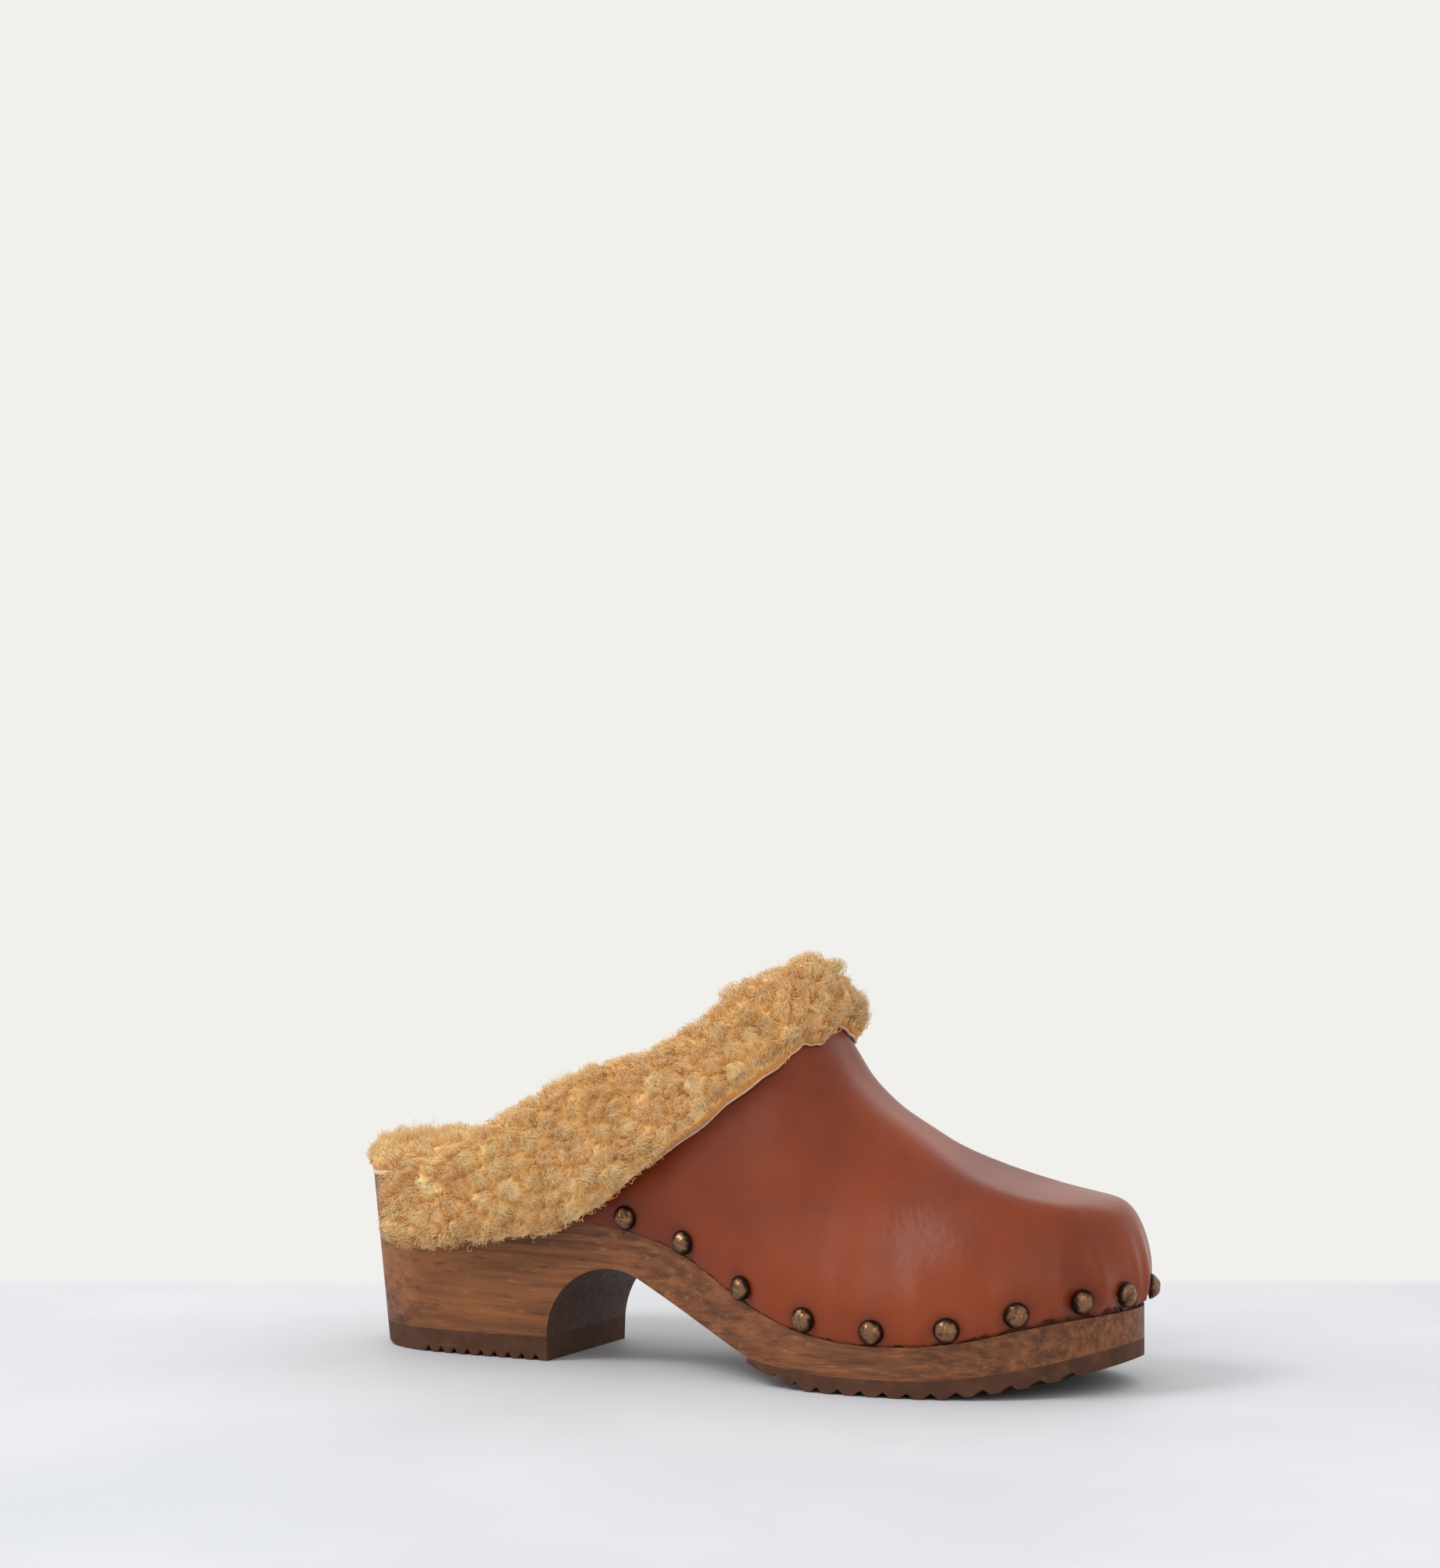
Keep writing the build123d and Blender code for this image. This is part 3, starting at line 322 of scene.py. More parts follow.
def mesh_object(name, points, quads, triangles=None, fields=None):
    """Mesh piece from millimetre points, with one float attribute per field."""
    mesh = bpy.data.meshes.new(name)
    triangles = np.empty((0, 3), int) if triangles is None else triangles
    corners = np.concatenate([quads.ravel(), triangles.ravel()]).astype(np.int32)
    sizes = np.concatenate([np.full(len(quads), 4), np.full(len(triangles), 3)]).astype(np.int32)
    mesh.vertices.add(len(points))
    mesh.vertices.foreach_set("co", place(points).astype(np.float32).ravel())
    mesh.loops.add(len(corners))
    mesh.loops.foreach_set("vertex_index", corners)
    mesh.polygons.add(len(sizes))
    mesh.polygons.foreach_set("loop_start", np.concatenate([[0], np.cumsum(sizes)[:-1]]).astype(np.int32))
    mesh.polygons.foreach_set("loop_total", sizes)
    mesh.update(calc_edges=True)
    mesh.validate()
    mesh.shade_smooth()
    for field, values in (fields or {}).items():
        attribute = mesh.attributes.new(field, "FLOAT", "POINT")
        attribute.data.foreach_set("value", np.asarray(values, np.float32).ravel())
    piece = bpy.data.objects.new(name, mesh)
    bpy.context.scene.collection.objects.link(piece)
    return piece


def finished(piece, material, nodes=()):
    """Gives a piece its material, hangs it under the root body and hides the model's parts that it replaces.
    """
    piece.data.materials.append(material)
    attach(piece, "root")
    if nodes:
        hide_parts(*nodes)
    return piece


def grid_quads(rows, columns, first=0):
    """Faces of a grid of points."""
    i = first + (np.arange(rows - 1)[:, None] * columns + np.arange(columns - 1)[None, :]).ravel()
    return np.stack([i, i + columns, i + columns + 1, i + 1], 1)


def rim_indices(rows, columns):
    """Indices round the border of a grid."""
    top = np.arange(columns)
    right = np.arange(1, rows) * columns + columns - 1
    bottom = (rows - 1) * columns + np.arange(columns - 2, -1, -1)
    left = np.arange(rows - 2, 0, -1) * columns
    return np.concatenate([top, right, bottom, left])


def slab(outer, inner, bulge=0.0):
    """Closed layer between two grids. bulge rounds the cut edges outwards."""
    rows, columns = outer.shape[:2]
    count = rows * columns
    rim = rim_indices(rows, columns)
    far, near = outer.reshape(-1, 3), inner.reshape(-1, 3)
    faces = [grid_quads(rows, columns), grid_quads(rows, columns, count)[:, ::-1]]
    middle = (far[rim] + near[rim]) / 2
    inside = rim_inward(rows, columns, rim)
    middle += bulge * unit(far[rim] - far[inside])
    ring = 2 * count + np.arange(len(rim))
    for a, b in ((rim, ring), (ring, rim + count)):
        faces.append(np.stack([a, np.roll(a, -1), np.roll(b, -1), b], 1))
    return np.concatenate([far, near, middle]), np.concatenate(faces)


def rim_inward(rows, columns, rim):
    """For each border index, its neighbour one step inside the grid."""
    i, j = rim // columns, rim % columns
    return np.clip(i, 1, rows - 2) * columns + np.clip(j, 1, columns - 2)


# ---- material graphs -----------------------------------------------------
class Graph:
    """A material's node graph around one Principled shader."""

    def __init__(self, name):
        self.material = bpy.data.materials.new(name)
        self.material.use_nodes = True
        self.nodes = self.material.node_tree.nodes
        self.links = self.material.node_tree.links
        self.shader = self.nodes["Principled BSDF"]

    def add(self, kind, sockets=None, **settings):
        node = self.nodes.new(kind)
        for key, value in settings.items():
            setattr(node, key, value)
        for key, value in (sockets or {}).items():
            self.feed(node.inputs[key], value)
        return node

    def feed(self, socket, value):
        if isinstance(value, bpy.types.NodeSocket):
            self.links.new(value, socket)
        else:
            socket.default_value = value

    def position(self, stretch=(1, 1, 1), turn=(0, 0, 0)):
        """Place on the object, in metres, scaled along each axis."""
        coordinates = self.add("ShaderNodeTexCoord").outputs["Object"]
        return self.add("ShaderNodeMapping", {"Vector": coordinates, "Scale": stretch,
                                              "Rotation": turn}).outputs[0]

    def noise(self, vector, scale, detail=3.0, rough=0.5, warp=0.0):
        node = self.add("ShaderNodeTexNoise", {"Vector": vector, "Scale": scale, "Detail": detail,
                                               "Roughness": rough, "Distortion": warp})
        return node.outputs["Fac"]

    def field(self, name):
        return self.add("ShaderNodeAttribute", attribute_name=name).outputs["Fac"]

    def ramp(self, value, low, high, start=0.0, end=1.0):
        """Smooth step of a value from low to high, mapped to start..end."""
        node = self.add("ShaderNodeMapRange", {"Value": value, "From Min": low, "From Max": high,
                                               "To Min": start, "To Max": end},
                        interpolation_type="SMOOTHSTEP")
        return node.outputs[0]

    def sum(self, a, b, how="ADD"):
        node = self.add("ShaderNodeMath", operation=how)
        self.feed(node.inputs[0], a)
        self.feed(node.inputs[1], b)
        return node.outputs[0]

    def mix(self, share, a, b):
        node = self.add("ShaderNodeMix", data_type="RGBA")
        self.feed(node.inputs[0], share)
        self.feed(node.inputs[6], a)
        self.feed(node.inputs[7], b)
        return node.outputs[2]

    def bump(self, height, distance, strength):
        sockets = {"Height": height, "Distance": distance, "Strength": strength}
        return self.add("ShaderNodeBump", sockets).outputs[0]

    def done(self, **sockets):
        for key, value in sockets.items():
            self.feed(self.shader.inputs[key.replace("_", " ")], value)
        return self.material


def colour(red, green, blue):
    """Linear colour from the 0-255 values of a display."""
    def linear(value):
        value /= 255
        return value / 12.92 if value <= 0.04045 else ((value + 0.055) / 1.055) ** 2.4
    return (linear(red), linear(green), linear(blue), 1.0)


def wood_material():
    """Stained alder: grain along the sole, short pale and dark dashes, a golden heel, and painted shade on
    the heel breast (end grain) and on faces turned down near the heel.
    """
    g = Graph("stained_wood")
    bend = g.noise(g.position((6, 20, 20)), 1.0, 2.0)
    bent = g.add("ShaderNodeVectorMath", operation="ADD")
    g.feed(bent.inputs[0], g.position())
    swing = g.add("ShaderNodeCombineXYZ", {"Z": g.ramp(bend, 0.0, 1.0, -0.006, 0.006),
                                           "Y": g.ramp(bend, 0.0, 1.0, 0.004, -0.004)})
    g.feed(bent.inputs[1], swing.outputs[0])

    def stretched(scale):
        return g.add("ShaderNodeMapping", {"Vector": bent.outputs[0], "Scale": scale}).outputs[0]

    rings = g.noise(stretched((22, 420, 420)), 1.0, 4.0, 0.62)
    fine = g.noise(stretched((110, 2300, 2300)), 1.0, 3.0, 0.6)
    dashes = g.noise(stretched((150, 900, 900)), 1.0, 1.5, 0.5)
    patches = g.noise(g.position((10, 26, 26)), 1.0, 2.0)
    split = g.add("ShaderNodeSeparateXYZ", {"Vector": g.position()})
    heel_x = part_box("heel_top_lift")[0][0]
    golden = g.ramp(split.outputs[0], heel_x + 0.085, heel_x + 0.004)
    golden = g.sum(golden, g.ramp(patches, 0.3, 0.7), "MULTIPLY")
    base = g.mix(g.ramp(rings, 0.30, 0.72), colour(86, 48, 26), colour(138, 82, 46))
    base = g.mix(g.sum(golden, 0.85, "MULTIPLY"), base, colour(172, 110, 54))
    base = g.mix(g.ramp(fine, 0.52, 0.80, 0.0, 0.42), base, colour(66, 38, 24))
    base = g.mix(g.ramp(dashes, 0.62, 0.72, 0.0, 0.28), base, colour(178, 122, 78))
    base = g.mix(g.ramp(dashes, 0.38, 0.27, 0.0, 0.45), base, colour(60, 34, 22))
    lift_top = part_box("heel_top_lift")[1][2]
    near_joint = g.ramp(split.outputs[2], lift_top + 0.004, lift_top + 0.0008)
    scorch = g.sum(near_joint, g.ramp(split.outputs[0], heel_x + 0.030, heel_x + 0.002), "MULTIPLY")
    base = g.mix(g.sum(scorch, 0.7, "MULTIPLY"), base, colour(52, 28, 18))
    # Painted shade: near the heel, faces turned towards the toe or downwards are darkened, the heel breast
    # among them.
    facing = g.add("ShaderNodeSeparateXYZ", {"Vector": g.add("ShaderNodeNewGeometry").outputs["Normal"]})
    breast_shade = g.sum(g.ramp(facing.outputs[0], 0.25, 0.8), g.ramp(facing.outputs[2], -0.3, -0.9), "MAXIMUM")
    breast_shade = g.sum(breast_shade, g.ramp(split.outputs[0], 0.03, 0.0), "MULTIPLY")
    base = g.mix(g.sum(breast_shade, 0.8, "MULTIPLY"), base, colour(58, 32, 22))
    pits = g.sum(g.sum(fine, 0.5, "MULTIPLY"), g.sum(dashes, 0.5, "MULTIPLY"))
    normal = g.bump(pits, 0.00025, 0.55)
    return g.done(Base_Color=base, Roughness=g.ramp(rings, 0.2, 0.8, 0.62, 0.46), Normal=normal,
                  Specular_IOR_Level=0.35)


def rubber_material():
    g = Graph("sole_rubber")
    mottle = g.noise(g.position(), 180.0, 4.0)
    dust = g.noise(g.position((60, 260, 260)), 1.0, 3.0)
    base = g.mix(g.ramp(mottle, 0.3, 0.7), colour(70, 42, 27), colour(86, 52, 34))
    base = g.mix(g.ramp(dust, 0.55, 0.75, 0.0, 0.35), base, colour(112, 78, 56))
    return g.done(Base_Color=base, Roughness=0.72, Normal=g.bump(mottle, 0.0002, 0.35),
                  Specular_IOR_Level=0.3)


def leather_material():
    """Smooth waxed cowhide with fine pores; its cut edge is dark with pale fibres."""
    g = Graph("tan_leather")
    cloud = g.noise(g.position(), 16.0, 3.0)
    streak = g.noise(g.position((18, 50, 30), (0, 0.5, 0)), 1.0, 4.0)
    pores = g.add("ShaderNodeTexVoronoi", {"Vector": g.position(), "Scale": 1500.0,
                                           "Randomness": 1.0}).outputs["Distance"]
    creases = g.noise(g.position(), 700.0, 5.0, 0.6, 0.4)
    base = g.mix(g.ramp(cloud, 0.30, 0.72), colour(108, 40, 15), colour(138, 58, 22))
    base = g.mix(g.ramp(streak, 0.45, 0.8, 0.0, 0.35), base, colour(98, 36, 20))
    base = g.mix(g.ramp(creases, 0.56, 0.75, 0.0, 0.22), base, colour(84, 32, 18))
    rim = g.field("rim")
    base = g.mix(g.ramp(rim, 0.05, 1.0, 0.0, 0.75), base, colour(84, 40, 28))
    fibres = g.noise(g.position((900, 900, 500)), 1.0, 2.0)
    raw = g.mix(g.ramp(fibres, 0.50, 0.66), colour(70, 38, 28), colour(190, 140, 112))
    base = g.mix(g.field("cut"), base, raw)
    # Painted shade: a dark disc round each nail head, where the leather is pressed in under it.
    pressed_shade = g.field("pressed_shade")
    base = g.mix(g.sum(pressed_shade, 0.55, "MULTIPLY"), base, colour(74, 30, 22))
    grain = g.sum(g.sum(pores, 0.5, "MULTIPLY"), g.sum(creases, 0.7, "MULTIPLY"))
    normal = g.bump(grain, 0.00012, 0.35)
    rough = g.ramp(cloud, 0.25, 0.75, 0.42, 0.33)
    return g.done(Base_Color=base, Roughness=rough, Normal=normal, Specular_IOR_Level=0.26,
                  Coat_Weight=0.05, Coat_Roughness=0.25)


def hide_material():
    """Flesh side and cut edge of the sheepskin: pale, fibrous suede."""
    g = Graph("sheep_hide")
    nap = g.noise(g.position(), 900.0, 4.0, 0.65)
    cloud = g.noise(g.position(), 90.0, 3.0)
    base = g.mix(g.ramp(nap, 0.3, 0.7), colour(200, 164, 124), colour(236, 212, 180))
    base = g.mix(g.ramp(cloud, 0.45, 0.75, 0.0, 0.4), base, colour(206, 160, 112))
    return g.done(Base_Color=base, Roughness=0.88, Normal=g.bump(nap, 0.0003, 0.5),
                  Specular_IOR_Level=0.2, Sheen_Weight=0.3, Sheen_Roughness=0.5)


def wool_material(name, deep, middle, tip):
    """Curly fleece: honey in the middle, straw at the tips; its orange-brown deep colour is painted shade at
    the roots and in the creases between tufts, and also darkens some tufts and curls at random.
    """
    g = Graph(name)
    height = g.field("height")
    tone = g.field("tone")
    cloud = g.noise(g.position(), 60.0, 3.0)
    curl = g.noise(g.position(), 1500.0, 3.0, 0.6, 1.0)
    # Painted shade: low height, at the roots and in the creases between tufts, takes the deep colour.
    base = g.mix(g.ramp(height, 0.15, 0.62), deep, middle)
    base = g.mix(g.ramp(height, 0.55, 1.0, 0.0, 0.85), base, tip)
    base = g.mix(g.ramp(tone, 0.0, 1.0, 0.35, 0.0), base, deep)
    base = g.mix(g.ramp(cloud, 0.50, 0.75, 0.0, 0.35), base, colour(236, 178, 100))
    base = g.mix(g.ramp(curl, 0.52, 0.8, 0.0, 0.3), base, deep)
    return g.done(Base_Color=base, Roughness=0.85, Normal=g.bump(curl, 0.0006, 0.5),
                  Specular_IOR_Level=0.15, Sheen_Weight=0.45, Sheen_Roughness=0.4)


def board_material():
    g = Graph("stiffener_board")
    fibre = g.noise(g.position((500, 900, 900)), 1.0, 4.0)
    base = g.mix(g.ramp(fibre, 0.3, 0.7), colour(120, 98, 76), colour(158, 134, 106))
    return g.done(Base_Color=base, Roughness=0.9, Normal=g.bump(fibre, 0.0002, 0.4))


def brass_material():
    """Antiqued brass: dark patina in the hollows and at the rim, polished bright on the crown by wear; this
    grading by the dome's height is also a painted highlight on the crown and painted shade at the rim.
    """
    g = Graph("antique_brass")
    dents = g.noise(g.position(), 900.0, 3.0)
    patina = g.noise(g.position(), 420.0, 4.0, 0.6)
    # Bright on top and dark at the rim by the dome's height: partly wear, partly painted highlight and
    # painted shade.
    dome_height = g.field("crown")
    wear_and_highlight = g.sum(dome_height, g.ramp(patina, 0.35, 0.65, 0.45, 1.15), "MULTIPLY")
    base = g.mix(g.ramp(wear_and_highlight, 0.18, 0.75), colour(40, 27, 22), colour(136, 100, 74))
    rough = g.ramp(wear_and_highlight, 0.1, 0.9, 0.50, 0.27)
    return g.done(Base_Color=base, Metallic=1.0, Roughness=rough, Normal=g.bump(dents, 0.0004, 0.45))


# ---- leather upper -------------------------------------------------------
ROW_T = np.linspace(0, 1, 361)
OUTER = upper_grid(ROW_T, np.linspace(0, 1, 81))
OUTER_N = normals(OUTER)
ROW_LENGTH = lengths(OUTER)
EDGE_LENGTH = np.concatenate([[0], np.cumsum(np.linalg.norm(np.diff(OUTER[:, 0], axis=0), axis=1))])
TOE_S = EDGE_LENGTH[OUTER[:, 0, 0].argmax()]


def nail_places():
    """Distance along the edge, centre and outward direction of each nail head."""
    distance = height_reached(OUTER, OUTER[:, 0, 2] + NAIL_ABOVE_EDGE)
    points, out = span(OUTER, OUTER_N, distance, distance + 0.1, 2)
    outer_side = TOE_S - np.cumsum(OUTER_NAIL_GAPS)
    inner_side = TOE_S + np.cumsum(INNER_NAIL_GAPS)
    places = []
    for at in np.concatenate([outer_side[::-1], inner_side]):
        spot = np.array([np.interp(at, EDGE_LENGTH, points[:, 0, k]) for k in range(3)])
        aim = np.array([np.interp(at, EDGE_LENGTH, out[:, 0, k]) for k in range(3)]) * (1, 1, NAIL_TILT)
        if 0 < at < EDGE_LENGTH[-1] and spot[0] > LEATHER_REAR + NAIL_HEAD_DIAMETER:
            places.append((at, spot, unit(aim)))
    return places


NAILS = nail_places()


def leather_relief(s, up, points):
    """How far the lasted leather stands out: puckers round the toe, dimples at the nails, soft waves."""
    out = np.zeros_like(s)
    fold = np.random.default_rng(31)
    marks = [at for at, _, _ in NAILS]
    for at, following in zip(marks[:-1], marks[1:]):
        toe = np.exp(-(((at + following) / 2 - TOE_S) / 78) ** 2)
        for _ in range(2):
            where = at + (following - at) * fold.uniform(0.28, 0.72)
            lean = fold.uniform(-0.25, 0.25)
            width = PUCKER_WIDTH * fold.uniform(0.7, 1.35)
            tall = PUCKER_HEIGHT * fold.uniform(0.7, 1.3)
            high = PUCKER * toe * fold.uniform(0.45, 1.0)
            across = (s - where - lean * up) / (width * (1 + up / 22))
            ridge = np.exp(-across ** 2) - 0.42 * np.exp(-(across / 2.2) ** 2)
            out += high * ridge * np.exp(-(up / tall) ** 2) * smoothstep(-1.0, 3.0, up)
    gap = np.abs(s[..., None] - np.array([n[0] for n in NAILS])).min(-1)
    near = np.hypot(gap, up - NAIL_ABOVE_EDGE)
    out -= NAIL_DIMPLE * np.exp(-(near / 6.0) ** 2)
    x, y, z = np.moveaxis(points, -1, 0)
    waves = np.sin(x / 13 + 1.3 * np.sin(z / 17)) * np.sin(z / 11 + y / 15 + 0.7)
    waves += 0.6 * np.sin(x / 7.3 + z / 9.1) * np.sin(z / 8.3 - x / 19)
    out += 0.16 * waves * smoothstep(0, 10, up)
    return out


def ragged(s, reach):
    """Small uneven steps of the trimmed edge, rougher round the toe."""
    phase = np.random.default_rng(5).uniform(0, 6.28, 6)
    rough = 0.12 + 0.34 * np.exp(-((s - TOE_S) / 95) ** 2)
    line = sum(np.sin(s * k + p) / (1 + 0.35 * i)
               for i, (k, p) in enumerate(zip((0.55, 0.93, 1.7, 2.9, 4.3, 6.1), phase)))
    return rough * line * reach


def make_vamp():
    count = 96
    rows = np.flatnonzero(OUTER[:, 0, 0] >= LEATHER_REAR)
    grid_t = np.interp(np.linspace(EDGE_LENGTH[rows[0]], EDGE_LENGTH[rows[-1]], 430), EDGE_LENGTH, ROW_T)
    base = upper_grid(grid_t, np.linspace(0, 1, 81))
    base_n = normals(base)
    total = lengths(base)
    points, out = span(base, base_n, 0 * total, total, count)
    s = np.interp(grid_t, ROW_T, EDGE_LENGTH)[:, None] + np.zeros((1, count))
    up = np.linspace(0, 1, count)[None, :] * total[:, None]
    relief = leather_relief(s, up, points)
    points[..., 2] += ragged(s, np.exp(-(up / 1.4) ** 2))
    outer = points + relief[..., None] * out
    inner = points - LEATHER * out
    verts, quads = slab(outer, inner, 0.25)
    n = outer[..., 0].size
    rim_field = np.exp(-up / 1.1) * (0.35 + 0.65 * np.exp(-((s - TOE_S) / 110) ** 2))
    near = np.abs(s[..., None] - np.array([a for a, _, _ in NAILS])).min(-1)
    # Painted shade round each nail head, where the leather is pressed in.
    pressed_shade = np.exp(-(np.hypot(near, up - NAIL_ABOVE_EDGE) / 5.2) ** 4)
    rings = len(verts) - 2 * n
    fields = {"rim": np.concatenate([rim_field.ravel(), np.ones(n), np.ones(rings)]),
              "cut": np.concatenate([np.zeros(n), np.ones(n), np.ones(rings)]),
              "pressed_shade": np.concatenate([pressed_shade.ravel(), np.zeros(n + rings)])}
    return mesh_object("vamp_leather_lasted", verts, quads, fields=fields)


# ---- dome nails ----------------------------------------------------------
def nail_mesh(places, seed):
    """Hammered dome heads with a thin rolled rim, each on its plain shank."""
    random = np.random.default_rng(seed)
    around = 32
    angle = np.linspace(0, 2 * pi, around, endpoint=False)
    radius = NAIL_HEAD_DIAMETER / 2
    profile = [(0.0, 1.0), (0.18, 0.985), (0.36, 0.93), (0.53, 0.83), (0.68, 0.69), (0.80, 0.52),
               (0.90, 0.33), (0.965, 0.17), (1.0, 0.07), (1.0, 0.0), (0.93, -0.03),
               (NAIL_SHANK_DIAMETER / 2 / radius, -0.03)]
    verts, quads, crowns = [], [], []
    for _, centre, out in places:
        side = unit(np.cross(out, (0, 0, 1.0)))
        up = np.cross(side, out)
        tilt = random.uniform(-0.04, 0.04, 2)
        facet = random.uniform(0, 2 * pi, 5)
        rings = []
        for share, level in profile:
            dents = sum(np.cos((k + 2) * angle + facet[k]) * 0.010 * (k + 1) for k in range(4))
            flat = 0.10 * np.maximum(0, np.cos(angle - facet[4])) * share * (1 - share) * 4
            rise = level * NAIL_HEAD_HEIGHT * (1 - flat + dents * min(share, 1 - share) * 3)
            r = radius * share * (1 + 0.012 * np.cos(2 * angle + facet[0]))
            rise = rise + r * (tilt[0] * np.cos(angle) + tilt[1] * np.sin(angle))
            rings.append(centre + out * (NAIL_SEAT + rise)[:, None]
                         + r[:, None] * (np.cos(angle)[:, None] * side + np.sin(angle)[:, None] * up))
            crowns.append(np.full(around, np.clip(level * 1.25 - 0.1, 0, 1)))
        shank = rings[-1] - out * NAIL_SHANK_LENGTH
        rings.append(shank)
        rings.append(shank.mean(0) + 0.01 * (shank - shank.mean(0)))
        crowns += [np.zeros(around)] * 2
        first = sum(len(v) for v in verts)
        verts.append(np.concatenate(rings))
        for k in range(len(rings) - 1):
            a = first + k * around + np.arange(around)
            b = first + k * around + (np.arange(around) + 1) % around
            quads.append(np.stack([a, a + around, b + around, b], 1))
    return np.concatenate(verts), np.concatenate(quads), np.concatenate(crowns)


def make_nails(brass):
    groups = {"toe_nails": [], "outer_side_nails": [], "inner_side_nails": []}
    for place_ in NAILS:
        side = "outer_side_nails" if place_[1][1] < 0 else "inner_side_nails"
        groups["toe_nails" if place_[2][0] > TOE_NAIL_AIM else side].append(place_)
    for seed, (node, places) in enumerate(groups.items()):
        verts, quads, crown = nail_mesh(places, seed + 40)
        piece = mesh_object(f"{node}_hammered", verts, quads, fields={"crown": crown})
        finished(piece, brass, [node])


# ---- sheepskin -----------------------------------------------------------
def cuff_grid(t, outside_count, fold_count, inside_count, lift, inner_lift):
    """The turned-down cuff at a height over the leather: points and outward directions."""
    outer = upper_grid(t, np.linspace(0, 1, 61))
    outer_n = normals(outer)
    below = np.linspace(-CUFF_OVER_WOOD, -1.5, 12)
    foot = outer[:, :1, :] + np.array([0, 0, 1]) * below[None, :, None]
    level = unit(outer_n[:, :1, :] * np.array([1, 1, 0]))
    rows = np.concatenate([foot, outer], axis=1)
    out = np.concatenate([np.repeat(level, len(below), axis=1), outer_n], axis=1)
    total = lengths(rows)
    depth = through(CUFF_DEPTH, 1 - np.abs(2 * t - 1))
    depth = depth + cuff_edge_wave(t)
    outside, outside_n = span(rows, out, total - depth, total, outside_count)
    room = lengths(outer) - height_reached(outer, footbed_z(outer[:, 0, 0]))
    hang = np.clip(room, CUFF_INSIDE_LEAST, CUFF_INSIDE)
    inside, inside_n = span(rows, out, total, total - hang, inside_count)
    outside_n = softened(outside_n, 4)
    top, top_n = outer[:, -1], outer_n[:, -1]
    up = unit(outer[:, -1] - outer[:, -2])
    centre = top - LEATHER / 2 * top_n
    turn = np.linspace(0, pi, fold_count + 2)[1:-1]
    ways = [cos(a) * top_n + sin(a) * up for a in turn]
    radii = [LEATHER / 2 + lift * (1 - a / pi) + inner_lift * a / pi for a in turn]
    fold = np.stack([centre + r * w for r, w in zip(radii, ways)], 1)
    leg_out = outside + lift * outside_n
    leg_in = inside - (LEATHER + inner_lift) * inside_n
    points = np.concatenate([leg_out[:, :-1], fold, leg_in[:, 1:]], axis=1)
    directions = np.concatenate([outside_n[:, :-1], np.stack(ways, 1), -inside_n[:, 1:]], axis=1)
    return points, directions


def cuff_edge_wave(t):
    """The cuff's free edge isn't cut straight."""
    s = t * EDGE_LENGTH[-1]
    return 0.8 * np.sin(s / 17 + 0.6) + 0.5 * np.sin(s / 7.7) + 0.25 * np.sin(s / 3.1 + 2)


def make_cuff_hide():
    t = np.linspace(0, 1, 420)
    near, way = cuff_grid(t, 30, 9, 9, LAYER_GAP, LAYER_GAP)
    far, _ = cuff_grid(t, 30, 9, 9, LAYER_GAP + SKIN, LAYER_GAP + SKIN)
    lip = smoothstep(6, 0, np.arange(near.shape[1]))[None, :]
    lip = lip * (0.35 + 0.35 * np.sin(t * 61 + 1) * np.sin(t * 23))[:, None]
    return slab(far + lip[..., None] * way, near + lip[..., None] * way * 0.8, 0.15)


def scattered(points, area, spacing, random, tries=9):
    """Indices of grid points about spacing apart, in random order."""
    wanted = int(area.sum() / spacing ** 2 * tries)
    picks = random.choice(len(points), wanted, p=area / area.sum())
    jitter = points[picks] + random.normal(0, 0.25, (wanted, 3))
    kept = []
    cells = {}
    for n, p in zip(picks, jitter):
        cell = tuple((p // spacing).astype(int))
        close = False
        for dx in (-1, 0, 1):
            for dy in (-1, 0, 1):
                for dz in (-1, 0, 1):
                    for q in cells.get((cell[0] + dx, cell[1] + dy, cell[2] + dz), ()):
                        if (q[0] - p[0]) ** 2 + (q[1] - p[1]) ** 2 + (q[2] - p[2]) ** 2 < spacing ** 2:
                            close = True
        if not close:
            cells.setdefault(cell, []).append(p)
            kept.append(n)
    return np.array(kept)


def grid_area(points):
    """Area that each grid point stands for."""
    across = np.cross(np.gradient(points, axis=0), np.gradient(points, axis=1))
    return np.linalg.norm(across, axis=2).ravel()


